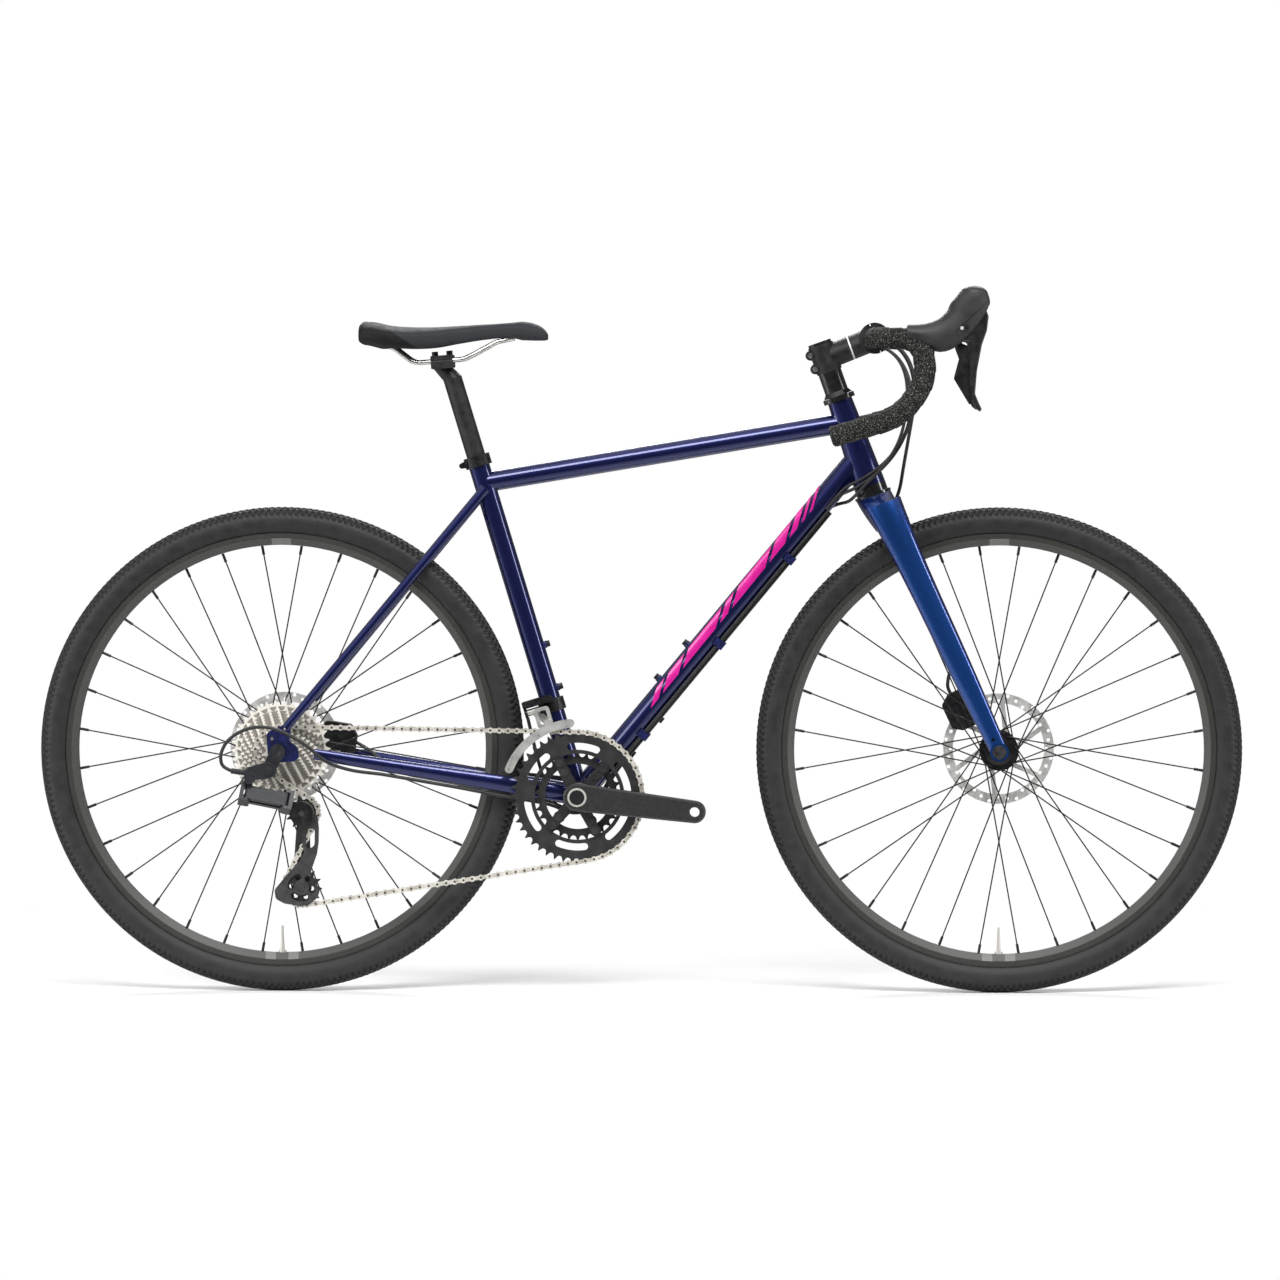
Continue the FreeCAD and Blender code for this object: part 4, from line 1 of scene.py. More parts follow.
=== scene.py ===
import json
import math
import bpy
import numpy as np
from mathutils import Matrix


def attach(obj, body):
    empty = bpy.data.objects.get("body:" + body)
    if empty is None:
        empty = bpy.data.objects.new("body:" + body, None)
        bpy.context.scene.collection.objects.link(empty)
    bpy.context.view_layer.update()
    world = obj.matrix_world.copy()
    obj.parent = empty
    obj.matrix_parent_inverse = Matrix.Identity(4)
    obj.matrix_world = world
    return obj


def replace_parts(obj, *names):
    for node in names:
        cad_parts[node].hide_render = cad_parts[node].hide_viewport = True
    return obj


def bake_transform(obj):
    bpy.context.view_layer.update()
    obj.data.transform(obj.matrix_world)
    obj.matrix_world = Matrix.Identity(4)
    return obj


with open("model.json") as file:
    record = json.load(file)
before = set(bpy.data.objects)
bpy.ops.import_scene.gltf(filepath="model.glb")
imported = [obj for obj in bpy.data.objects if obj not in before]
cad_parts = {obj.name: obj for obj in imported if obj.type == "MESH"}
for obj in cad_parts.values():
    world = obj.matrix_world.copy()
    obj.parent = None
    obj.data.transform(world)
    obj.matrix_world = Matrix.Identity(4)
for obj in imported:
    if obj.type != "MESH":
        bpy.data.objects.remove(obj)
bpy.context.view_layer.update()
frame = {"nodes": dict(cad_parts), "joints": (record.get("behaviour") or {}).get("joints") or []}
nodes = frame["nodes"]
pivot = {joint["name"]: np.array(joint["pos_m"]) for joint in frame["joints"] if "pos_m" in joint}


# The frame: butted steel tubes, mitred and welded, then sprayed in a deep blue-violet metallic lacquer
# under a thick clear coat. The flakes are a fine noise, the coat gives the long sharp highlights.
frame_deep = (0.001, 0.003, 0.034)
frame_lit = (0.005, 0.011, 0.128)
flake_scale = 1400.0
lacquer_grain = 2600.0
lacquer_bump = 0.04
lacquer_metallic = 0.75
lacquer_coat = 0.95
plain_mottle = 40.0
plain_grain = 900.0
noise_detail = 3.0
mottle_stops = (0.35, 0.65)
rough_stops = (0.3, 0.7)
coat_rough = 0.06
grain_depth = 0.0005


def shader_group(name, inputs, outputs):
    """Empty shader node group with float sockets: the tree, its input node and its output node."""
    tree = bpy.data.node_groups.new(name, "ShaderNodeTree")
    for label, value in inputs:
        socket = tree.interface.new_socket(label, in_out="INPUT", socket_type="NodeSocketFloat")
        socket.default_value = value
    for label in outputs:
        tree.interface.new_socket(label, in_out="OUTPUT", socket_type="NodeSocketFloat")
    return tree, tree.nodes.new("NodeGroupInput"), tree.nodes.new("NodeGroupOutput")


def make_grain():
    """Broad mottle and fine grain, each 0 to 1, read from the piece's own coordinates."""
    scales = (("Mottle Scale", plain_mottle), ("Grain Scale", plain_grain))
    tree, given, out = shader_group("grain", scales, ("Mottle", "Grain"))
    place = tree.nodes.new("ShaderNodeTexCoord")
    for label in ("Mottle", "Grain"):
        noise = tree.nodes.new("ShaderNodeTexNoise")
        noise.inputs["Detail"].default_value = noise_detail
        tree.links.new(place.outputs["Object"], noise.inputs["Vector"])
        tree.links.new(given.outputs[label + " Scale"], noise.inputs["Scale"])
        tree.links.new(noise.outputs["Fac"], out.inputs[label])
    return tree


grain_group = make_grain()


def finish(name, dark, light, rough, metallic=0.0, coat=0.0, mottle=plain_mottle, grain=plain_grain, bump=0.1,
           sheen=0.5):
    """Material: colour and roughness run between two values with the mottle; the grain lifts the surface."""
    material = bpy.data.materials.new(name)
    material.use_nodes = True
    tree = material.node_tree
    shader = tree.nodes["Principled BSDF"]
    shader.inputs["Metallic"].default_value = metallic
    shader.inputs["Coat Weight"].default_value = coat
    shader.inputs["Specular IOR Level"].default_value = sheen
    shader.inputs["Coat Roughness"].default_value = coat_rough
    detail = tree.nodes.new("ShaderNodeGroup")
    detail.node_tree = grain_group
    detail.inputs["Mottle Scale"].default_value = mottle
    detail.inputs["Grain Scale"].default_value = grain
    ramp = tree.nodes.new("ShaderNodeValToRGB")
    for stop, place, colour in zip(ramp.color_ramp.elements, mottle_stops, (dark, light)):
        stop.position = place
        stop.color = (*colour, 1.0)
    tree.links.new(detail.outputs["Mottle"], ramp.inputs["Fac"])
    tree.links.new(ramp.outputs["Color"], shader.inputs["Base Color"])
    spread = tree.nodes.new("ShaderNodeMapRange")
    for socket, value in zip(("From Min", "From Max", "To Min", "To Max"), (*rough_stops, *rough)):
        spread.inputs[socket].default_value = value
    tree.links.new(detail.outputs["Mottle"], spread.inputs["Value"])
    tree.links.new(spread.outputs["Result"], shader.inputs["Roughness"])
    relief = tree.nodes.new("ShaderNodeBump")
    relief.inputs["Strength"].default_value = bump
    relief.inputs["Distance"].default_value = grain_depth
    tree.links.new(detail.outputs["Grain"], relief.inputs["Height"])
    tree.links.new(relief.outputs["Normal"], shader.inputs["Normal"])
    return material


def wear(material, *names):
    """Gives CAD nodes a material in place of their own."""
    for name in names:
        slots = nodes[name].data.materials
        slots.clear()
        slots.append(material)


frame_paint = finish("frame_lacquer", frame_deep, frame_lit, rough=(0.28, 0.36), metallic=lacquer_metallic,
                     coat=lacquer_coat, mottle=flake_scale, grain=lacquer_grain, bump=lacquer_bump)
wear(frame_paint, "head_tube", "top_tube", "down_tube", "seat_tube", "bottom_bracket_shell", "chainstays",
     "seatstays")


# The down tube's graphics: thin pink transfers laid over the lacquer on both sides of the tube.
# Each is a slanted patch of the tube's own cylinder,
# P(u, v) = foot + way (u + slant v) + r (side cos v + over sin v).
tube_way = np.array((0.627, 0.0, 0.779))
tube_over = np.array((-0.779, 0.0, 0.627))
transfer_radius = 0.01745
transfer_slant = 0.024
transfer_half_angle = 0.62
transfer_runs = ((0.168, 0.186), (0.196, 0.232), (0.242, 0.318), (0.328, 0.346), (0.356, 0.432),
                 (0.442, 0.478), (0.488, 0.506), (0.516, 0.524), (0.534, 0.542))
transfer_grid = (4, 15)
transfer_pink = (0.6, 0.002, 0.26)
transfer_pink_lit = (0.7, 0.004, 0.31)


def grid_faces(shape, wrap):
    """Four-sided faces of point grids, and each corner's place on its grid as shares of rows and columns."""
    patches, rows, columns, _ = shape
    row = np.arange(rows if wrap[0] else rows - 1)
    column = np.arange(columns if wrap[1] else columns - 1)
    row, column = (part.ravel() for part in np.meshgrid(row, column, indexing="ij"))
    corner_row = np.stack((row, row + 1, row + 1, row), axis=1)
    corner_column = np.stack((column, column, column + 1, column + 1), axis=1)
    face = (corner_row % rows) * columns + corner_column % columns
    faces = (np.arange(patches)[:, None, None] * rows * columns + face[None]).reshape(-1, 4)
    place_map = np.stack((corner_row / (rows - 1), corner_column / (columns - 1)), axis=-1)
    place_map = np.tile(place_map.reshape(1, -1, 4, 2), (patches, 1, 1, 1)).reshape(-1, 4, 2)
    return faces, place_map


def looks_inward(flat, faces):
    """Whether a closed mesh is inside out: its volume, summed face by face from the origin, is negative."""
    a, b, c, d = (flat[faces[:, k]] for k in range(4))
    volume = np.einsum("ij,ij->i", a, np.cross(b, c)).sum() + np.einsum("ij,ij->i", a, np.cross(c, d)).sum()
    return volume < 0


def grid_object(name, points, body, material, wrap=(False, False), closed=False):
    """Mesh from point grids of shape (patches, rows, columns, 3), joined where wrap says; rides a body."""
    faces, place_map = grid_faces(points.shape, wrap)
    flat = points.reshape(-1, 3)
    if closed and looks_inward(flat, faces):
        faces = faces[:, ::-1]
        place_map = place_map[:, ::-1]
    mesh = bpy.data.meshes.new(name)
    mesh.vertices.add(len(flat))
    mesh.vertices.foreach_set("co", flat.astype(np.float32).ravel())
    mesh.loops.add(faces.size)
    mesh.loops.foreach_set("vertex_index", faces.astype(np.int32).ravel())
    mesh.polygons.add(len(faces))
    mesh.polygons.foreach_set("loop_start", np.arange(0, faces.size, 4, dtype=np.int32))
    mesh.polygons.foreach_set("use_smooth", np.ones(len(faces), dtype=bool))
    layer = mesh.uv_layers.new(name="place")
    layer.data.foreach_set("uv", place_map.astype(np.float32).ravel())
    mesh.update(calc_edges=True)
    mesh.validate()
    mesh.materials.append(material)
    piece = bpy.data.objects.new(name, mesh)
    bpy.context.scene.collection.objects.link(piece)
    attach(piece, body)
    return piece


def transfer_patch(start, end, side):
    """One slanted patch; side is -1 on the drive side and 1 on the other."""
    run = np.linspace(start, end, transfer_grid[0])
    share = -side * np.linspace(-1, 1, transfer_grid[1])
    u, v = np.meshgrid(run, share, indexing="ij")
    angle = v * transfer_half_angle
    along = u + transfer_slant * v
    out = np.cos(angle)[..., None] * np.array((0.0, side, 0.0)) + np.sin(angle)[..., None] * tube_over
    return pivot["crank_spin"] + along[..., None] * tube_way + transfer_radius * out


transfers = np.stack([transfer_patch(start, end, side) for start, end in transfer_runs for side in (-1, 1)])
transfer_film = finish("transfer_film", transfer_pink, transfer_pink_lit, rough=(0.3, 0.4), metallic=0.1,
                       coat=1.0, mottle=60.0, grain=2600.0, bump=0.03)
grid_object("down_tube_transfers", transfers, "frame", transfer_film)


# Frame fittings and bolts: cable guides, bottle bosses and the stay bridge, brazed on and painted with the
# frame, black steel bolts threaded into them, anodised bearing cups, the seat clamp and the thru axles.
fitting_dark = (0.004, 0.006, 0.045)
fitting_light = (0.01, 0.018, 0.13)
black_dark = (0.006, 0.006, 0.007)
black_light = (0.018, 0.018, 0.02)
steel_dark = (0.5, 0.49, 0.47)
steel_light = (0.78, 0.76, 0.73)
bolt_dark = (0.02, 0.02, 0.021)
bolt_light = (0.05, 0.05, 0.052)
axle_dark = (0.05, 0.05, 0.054)
axle_light = (0.1, 0.1, 0.105)

fitting_paint = finish("fitting_paint", fitting_dark, fitting_light, rough=(0.35, 0.5), metallic=0.5,
                       coat=0.6, mottle=300.0, grain=1600.0, bump=0.05)
wear(fitting_paint, "frame_fittings")
anodised = finish("black_anodised", black_dark, black_light, rough=(0.32, 0.46), metallic=0.4, mottle=120.0,
                  grain=2400.0, bump=0.12)
wear(anodised, "seat_clamp", "front_derailleur_body", "rd_inner_link", "rd_p_knuckle", "rear_caliper",
     "front_caliper", "handlebar")
polished = finish("black_polished", black_dark, black_light, rough=(0.2, 0.28), metallic=0.4, coat=1.0,
                  mottle=120.0, grain=2400.0, bump=0.04)
wear(polished, "bearing_cups", "headset_spacers")
black_steel = finish("blackened_steel", bolt_dark, bolt_light, rough=(0.3, 0.42), metallic=0.8, mottle=200.0)
wear(black_steel, "frame_bolts")
bright_steel = finish("bright_steel", steel_dark, steel_light, rough=(0.2, 0.3), metallic=1.0, mottle=120.0,
                      grain=1800.0, bump=0.05)
wear(bright_steel, "steering_bolts")
axle_alloy = finish("axle_alloy", axle_dark, axle_light, rough=(0.3, 0.4), metallic=0.8, mottle=150.0,
                    grain=1800.0, bump=0.06)
wear(axle_alloy, "rear_thru_axle", "front_thru_axle")


# Tyres: black rubber moulded round a nylon casing, with small tread blocks in staggered rows and a lip over
# the rim's edge. The surface is a profile turned about the axle, P(t, k) = axle + (r cos t, y, r sin t),
# where r and y slide along the profile's normal by the tread depth between the blocks.
tyre_lip = (0.3122, 0.0129)
tyre_side = (0.3314, 0.0199)
tyre_shoulder = (0.3452, 0.0143)
tyre_crown = (0.3499, 0.0)
tyre_wall = 0.0022
tread_depth = 0.0026
lip_rows = 4
side_points = 14
crown_points = 27
inner_step = 6
tread_pitches = 236
pitch_steps = 7
tread_edge_share = 0.1
# Each row: middle and half width across the tread, filled share of a pitch, offset in pitches
tread_rows = ((0.0, 0.0026, 0.62, 0.0), (0.0065, 0.0026, 0.66, 0.5), (0.0121, 0.0021, 0.62, 0.0),
              (0.0172, 0.0024, 0.55, 0.5))
tread_slope = 0.0006
tread_begins = 0.006
tread_fade = 0.003
tyre_dark = (0.014, 0.014, 0.014)
tyre_light = (0.022, 0.022, 0.022)
# Painted shade in the gaps between the tread blocks, and fainter over the whole tread
tyre_gap_shade = (0.002, 0.002, 0.002)
tread_shade = 0.4


def arc_through(first, middle, last, count):
    """Points on the circle through three points of a plane, from the first to the last."""
    a, b, c = (complex(*point) for point in (first, middle, last))
    w = (c - a) / (b - a)
    centre = a + (b - a) * (w - abs(w) ** 2) / (2j * w.imag)
    radius = abs(a - centre)
    start, mid, end = (np.angle(point - centre) for point in (a, b, c))
    turn = (end - start) % (2 * np.pi)
    if (mid - start) % (2 * np.pi) > turn:
        turn -= 2 * np.pi
    angle = start + turn * np.linspace(0, 1, count)
    return np.stack((centre.real + radius * np.cos(angle), centre.imag + radius * np.sin(angle)), axis=1)


def tyre_profile():
    """Outer radius and Y from one lip over the crown to the other, and the unit normal at each point."""
    flip = np.array((1.0, -1.0))
    side = arc_through(tyre_lip, tyre_side, tyre_shoulder, side_points)
    crown = arc_through(tyre_shoulder, tyre_crown, tuple(flip * tyre_shoulder), crown_points)
    outer = np.concatenate((side[:-1], crown, side[::-1][1:] * flip))
    along = np.gradient(outer, axis=0)
    normal = np.stack((along[:, 1], -along[:, 0]), axis=1)
    normal *= np.sign(normal[len(normal) // 2, 0])
    return outer, normal / np.linalg.norm(normal, axis=1, keepdims=True)


def tread_height(turn_share, across):
    """1 on a tread block, 0 beside and between the blocks, with sloped edges."""
    block = np.zeros(np.broadcast(turn_share, across).shape)
    for middle, half, fill, offset in tread_rows:
        near = np.clip((half - np.abs(np.abs(across) - middle)) / tread_slope + 0.5, 0, 1)
        phase = np.abs((turn_share * tread_pitches + offset) % 1.0 - 0.5)
        along = np.clip((fill / 2 - phase) / tread_edge_share + 0.5, 0, 1)
        block = np.maximum(block, near * along)
    return block


def tyre_points(axle):
    """Points of one tyre, outside then inside, and their painted shade: 0 on the sidewall, 1 in a tread gap.
    """
    outer, normal = tyre_profile()
    turns = tread_pitches * pitch_steps
    share = np.arange(turns)[:, None] / turns
    height = tread_height(share, outer[None, :, 1])
    tread = np.clip((outer[:, 0] - tyre_side[0] - tread_begins) / tread_fade, 0, 1)
    gap = (1 - height) * tread
    sunk = tread_depth * gap
    radius = outer[None, :, 0] - sunk * normal[None, :, 0]
    across = outer[None, :, 1] - sunk * normal[None, :, 1]
    lining = outer - normal * (tyre_wall + tread_depth * tread[:, None])
    inner = lining[lip_rows:-lip_rows:inner_step][::-1]
    radius = np.concatenate((radius, np.repeat(inner[None, :, 0], turns, axis=0)), axis=1)
    across = np.concatenate((across, np.repeat(inner[None, :, 1], turns, axis=0)), axis=1)
    shade = np.maximum(gap, tread_shade * tread)
    shade = np.concatenate((shade, np.zeros((turns, len(inner)))), axis=1)
    angle = 2 * np.pi * share
    return (axle + np.stack((radius * np.cos(angle), across, radius * np.sin(angle)), axis=-1))[None], shade


def paint_over(material, mask, colour):
    """Lays a colour over a material's base colour where the mask is 1."""
    tree = material.node_tree
    base = tree.nodes["Principled BSDF"].inputs["Base Color"]
    mix = tree.nodes.new("ShaderNodeMixRGB")
    mix.inputs["Color2"].default_value = (*colour, 1.0)
    tree.links.new(base.links[0].from_socket, mix.inputs["Color1"])
    tree.links.new(mask, mix.inputs["Fac"])
    tree.links.new(mix.outputs["Color"], base)


rubber = finish("tyre_rubber", tyre_dark, tyre_light, rough=(0.5, 0.62), mottle=60.0, grain=1500.0, bump=0.2,
                sheen=0.35)
# Painted shade: full in the tread gaps, fainter over the rest of the tread
gap_shade_node = rubber.node_tree.nodes.new("ShaderNodeAttribute")
gap_shade_node.attribute_name = "shade"
paint_over(rubber, gap_shade_node.outputs["Fac"], tyre_gap_shade)
for end in ("front", "rear"):
    points, shade = tyre_points(pivot[end + "_wheel_spin"])
    tyre = grid_object(end + "_tyre_tread", points, end + "_wheel", rubber, (True, True), True)
    shades = tyre.data.attributes.new("shade", "FLOAT", "POINT")
    shades.data.foreach_set("value", shade.astype(np.float32).ravel())
    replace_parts(tyre, end + "_tyre")


# Wheels: extruded alloy rims, joined and anodised olive black, with plain grey blocks and a silver valve;
# blackened steel spokes laced to turned black hubs; stamped steel rotors with fine circular grinding marks.
rim_dark = (0.012, 0.012, 0.01)
rim_light = (0.036, 0.035, 0.03)
rim_mark = (0.16, 0.16, 0.15)
valve_silver = (0.6, 0.58, 0.54)
rotor_dark = (0.6, 0.59, 0.57)
rotor_light = (0.84, 0.83, 0.81)
rim_bed_radius = 0.2947
rim_mark_radius = 0.3045
# Painted highlight: the bevel's paler tone stands in for the light it catches
rim_bevel_highlight = (0.055, 0.055, 0.052)
valve_side = (0.009, 0.024)
top_side = (-0.001, 0.014)
rim_mark_share = 0.98
lock_ring_radius = 0.0215
spoke_dark = (0.012, 0.012, 0.012)
spoke_light = (0.035, 0.035, 0.036)
line_scale = 1500.0


def make_polar():
    """Radius, sideways distance and height about a level Y axis, and fine circular lines about it."""
    centre = (("Centre X", 0.0), ("Centre Z", 0.0))
    tree, given, out = shader_group("polar", centre, ("Radius", "Aside", "Height", "Lines"))
    place = tree.nodes.new("ShaderNodeTexCoord")
    middle = tree.nodes.new("ShaderNodeCombineXYZ")
    offset = tree.nodes.new("ShaderNodeVectorMath")
    offset.operation = "SUBTRACT"
    flat = tree.nodes.new("ShaderNodeVectorMath")
    flat.operation = "MULTIPLY"
    flat.inputs[1].default_value = (1.0, 0.0, 1.0)
    length = tree.nodes.new("ShaderNodeVectorMath")
    length.operation = "LENGTH"
    parts = tree.nodes.new("ShaderNodeSeparateXYZ")
    aside = tree.nodes.new("ShaderNodeMath")
    aside.operation = "ABSOLUTE"
    lines = tree.nodes.new("ShaderNodeTexNoise")
    lines.noise_dimensions = "1D"
    lines.inputs["Scale"].default_value = line_scale
    for source, target in (
            (given.outputs["Centre X"], middle.inputs["X"]), (given.outputs["Centre Z"], middle.inputs["Z"]),
            (place.outputs["Object"], offset.inputs[0]), (middle.outputs["Vector"], offset.inputs[1]),
            (offset.outputs["Vector"], flat.inputs[0]), (flat.outputs["Vector"], length.inputs[0]),
            (flat.outputs["Vector"], parts.inputs["Vector"]), (parts.outputs["X"], aside.inputs[0]),
            (length.outputs["Value"], lines.inputs["W"]), (length.outputs["Value"], out.inputs["Radius"]),
            (aside.outputs["Value"], out.inputs["Aside"]), (parts.outputs["Z"], out.inputs["Height"]),
            (lines.outputs["Fac"], out.inputs["Lines"])):
        tree.links.new(source, target)
    return tree


polar_group = make_polar()


def polar(material, centre):
    """Polar group node set about a centre, inside a material."""
    node = material.node_tree.nodes.new("ShaderNodeGroup")
    node.node_tree = polar_group
    node.inputs["Centre X"].default_value = centre[0]
    node.inputs["Centre Z"].default_value = centre[2]
    return node


def both(material, first, second):
    """Mask: product of two masks."""
    product = material.node_tree.nodes.new("ShaderNodeMath")
    product.operation = "MULTIPLY"
    material.node_tree.links.new(first, product.inputs[0])
    material.node_tree.links.new(second, product.inputs[1])
    return product.outputs["Value"]


def within(material, socket, low, high):
    """Mask: 1 where a value lies between two limits."""
    tree = material.node_tree
    masks = []
    for operation, limit in (("GREATER_THAN", low), ("LESS_THAN", high)):
        test = tree.nodes.new("ShaderNodeMath")
        test.operation = operation
        test.inputs[1].default_value = limit
        tree.links.new(socket, test.inputs[0])
        masks.append(test.outputs["Value"])
    return both(material, *masks)


def bump_lines(material, lines):
    """Circular lines in place of the grain under a material's bump."""
    relief = next(node for node in material.node_tree.nodes if node.type == "BUMP")
    material.node_tree.links.new(lines, relief.inputs["Height"])


def rim_finish(name, axle):
    """Anodised rim: a painted highlight on the bevel, grey blocks beside the valve and opposite it, and a
    silver valve.
    """
    material = finish(name, rim_dark, rim_light, rough=(0.44, 0.52), metallic=0.2, mottle=900.0, grain=2200.0,
                      bump=0.08)
    about = polar(material, axle)
    band = within(material, about.outputs["Radius"], rim_bed_radius, rim_mark_radius)
    # Painted highlight over the bevel
    paint_over(material, band, rim_bevel_highlight)
    for way, (start, end) in ((-1, valve_side), (1, top_side)):
        near, far = sorted((way * rim_bed_radius * rim_mark_share, way * rim_mark_radius))
        level = both(material, band, within(material, about.outputs["Height"], near, far))
        mark = both(material, level, within(material, about.outputs["Aside"], start, end))
        paint_over(material, mark, rim_mark)
    valve = within(material, about.outputs["Radius"], 0.0, rim_bed_radius)
    paint_over(material, valve, valve_silver)
    material.node_tree.links.new(valve, material.node_tree.nodes["Principled BSDF"].inputs["Metallic"])
    return material


def rotor_finish(name, axle):
    """Ground steel rotor with circular lines and a black lock ring."""
    material = finish(name, rotor_dark, rotor_light, rough=(0.28, 0.38), metallic=0.55, mottle=90.0,
                      grain=2000.0, bump=0.08)
    about = polar(material, axle)
    paint_over(material, within(material, about.outputs["Radius"], 0.0, lock_ring_radius), black_light)
    bump_lines(material, about.outputs["Lines"])
    return material


spoke_steel = finish("spoke_steel", spoke_dark, spoke_light, rough=(0.3, 0.4), metallic=0.7, mottle=200.0)
hub_black = finish("hub_black", black_dark, black_light, rough=(0.24, 0.34), metallic=0.5, coat=0.2,
                   mottle=90.0, grain=2000.0, bump=0.06)
for end in ("front", "rear"):
    axle = pivot[end + "_wheel_spin"]
    wear(rim_finish(end + "_rim_anodised", axle), end + "_rim")
    wear(rotor_finish(end + "_rotor_ground", axle), end + "_rotor")
    wear(spoke_steel, end + "_spokes")
    wear(hub_black, end + "_hub")


# Drivetrain: a plated steel roller chain, a stamped steel cassette, forged cranks in graphite grey with a
# silver axle ring, machined dark chainrings, and derailleurs of cast dark grey and black alloy with moulded
# pulleys.
chain_dark = (0.66, 0.63, 0.55)
chain_light = (0.95, 0.91, 0.83)
chain_line = -0.0509
roller_half = 0.0011
pin_start = 0.00269
pin_end = 0.0035
# Painted shade on the rollers between the chain's plates; the pin ends take the same dark colour
roller_shade_pin_dark = (0.1, 0.09, 0.075)
crank_dark = (0.034, 0.034, 0.036)
crank_light = (0.042, 0.042, 0.044)
axle_ring = (0.0108, 0.0138)
cog_hub_radius = 0.016
# Painted shade on the cassette wherever its surface does not face sideways: tooth edges and hole walls
cog_edge_shade = (0.16, 0.15, 0.13)
cog_teeth = (11, 13, 15, 17, 19, 21, 23, 25, 27, 30, 34)
# The cog under the chain, counted from the smallest as 0
chain_cog = 3
cog_pitch = 0.00374
cog_half = 0.0012
chain_pitch = 0.0127
tooth_height = 0.0031
cog_hidden = 0.0012
cog_shadow = (0.36, 0.34, 0.3)
cog_facing = (0.7, 0.95)
ring_dark = (0.03, 0.03, 0.031)
ring_light = (0.042, 0.042, 0.044)
derailleur_dark = (0.01, 0.011, 0.014)
derailleur_light = (0.018, 0.019, 0.024)
cage_dark = (0.04, 0.04, 0.041)
cage_light = (0.055, 0.055, 0.056)
plated_dark = (0.45, 0.45, 0.43)
plated_light = (0.6, 0.59, 0.57)
pad_dark = (0.05, 0.04, 0.03)
pad_light = (0.16, 0.13, 0.1)


def sideways(material):
    """Place across the bike, read from the piece's own coordinates."""
    tree = material.node_tree
    place = tree.nodes.new("ShaderNodeTexCoord")
    parts = tree.nodes.new("ShaderNodeSeparateXYZ")
    tree.links.new(place.outputs["Object"], parts.inputs["Vector"])
    return parts.outputs["Y"]


def chain_finish():
    """Plated chain with painted shade on the rollers between its plates, and dark ends on its pins."""
    material = finish("chain_plate", chain_dark, chain_light, rough=(0.24, 0.36), metallic=0.55, mottle=70.0,
                      grain=1500.0, bump=0.06)
    across = sideways(material)
    for low, high in ((-pin_end, -pin_start), (-roller_half, roller_half), (pin_start, pin_end)):
        paint_over(material, within(material, across, chain_line + low, chain_line + high), roller_shade_pin_dark)
    return material


def shade_cogs(material):
    """Darkens each cog's face inside the tips of the next smaller cog, which stands before it."""
    across = sideways(material)
    radius = polar(material, pivot["cassette_spin"]).outputs["Radius"]
    for index, teeth in enumerate(cog_teeth[:-1], 1):
        tips = chain_pitch / 2 / math.sin(math.pi / teeth) + tooth_height
        middle = chain_line + (index - chain_cog) * cog_pitch
        cog_slice = within(material, across, middle - cog_half, middle + cog_half)
        behind = within(material, radius, 0.0, tips - cog_hidden)
        paint_over(material, both(material, cog_slice, behind), cog_shadow)


def facing_side(material, low, high):
    """Mask that rises from 0 to 1 as the surface turns to face left or right."""
    tree = material.node_tree
    place = tree.nodes.new("ShaderNodeTexCoord")
    parts = tree.nodes.new("ShaderNodeSeparateXYZ")
    tree.links.new(place.outputs["Normal"], parts.inputs["Vector"])
    size = tree.nodes.new("ShaderNodeMath")
    size.operation = "ABSOLUTE"
    tree.links.new(parts.outputs["Y"], size.inputs[0])
    rise = tree.nodes.new("ShaderNodeMapRange")
    rise.inputs["From Min"].default_value = low
    rise.inputs["From Max"].default_value = high
    tree.links.new(size.outputs["Value"], rise.inputs["Value"])
    return rise.outputs["Result"]


def turned_finish(name, dark, light, rough, metallic, centre, inner_radius, inner_colour):
    """Metal turned about an axle, darker or lighter inside a radius."""
    material = finish(name, dark, light, rough, metallic, mottle=60.0, grain=2000.0, bump=0.06)
    about = polar(material, centre)
    paint_over(material, within(material, about.outputs["Radius"], 0.0, inner_radius), inner_colour)
    bump_lines(material, about.outputs["Lines"])
    return material


def crank_finish():
    """Graphite-grey cranks with a silver ring round the dark end of the axle."""
    material = finish("crank_graphite", crank_dark, crank_light, rough=(0.36, 0.44), metallic=0.5, coat=0.15,
                      mottle=300.0, grain=2200.0, bump=0.08)
    about = polar(material, pivot["crank_spin"])
    paint_over(material, within(material, about.outputs["Radius"], 0.0, axle_ring[1]), valve_silver)
    paint_over(material, within(material, about.outputs["Radius"], 0.0, axle_ring[0]), black_light)
    return material


wear(chain_finish(), "chain")
cassette_steel = turned_finish("cassette_steel", cog_edge_shade, cog_edge_shade, rough=(0.28, 0.4), metallic=0.2,
                               centre=pivot["cassette_spin"], inner_radius=cog_hub_radius,
                               inner_colour=black_light)
# Painted shade: only the sideways faces take the bright steel colour, the edges and hole walls stay dark
paint_over(cassette_steel, facing_side(cassette_steel, *cog_facing), chain_light)
shade_cogs(cassette_steel)
wear(cassette_steel, "cassette")
wear(crank_finish(), "crank_arm_right", "crank_arm_left")
ring_alloy = turned_finish("chainring_alloy", ring_dark, ring_light, rough=(0.36, 0.46), metallic=0.45,
                           centre=pivot["crank_spin"], inner_radius=cog_hub_radius, inner_colour=black_light)
wear(ring_alloy, "chainrings")
derailleur_grey = finish("derailleur_grey", derailleur_dark, derailleur_light, rough=(0.44, 0.56),
                         mottle=300.0, sheen=0.35)
wear(derailleur_grey, "rear_derailleur_mount", "rd_outer_link")
cage_black = finish("cage_black", cage_dark, cage_light, rough=(0.34, 0.44), metallic=0.3, mottle=90.0)
wear(cage_black, "rd_cage")
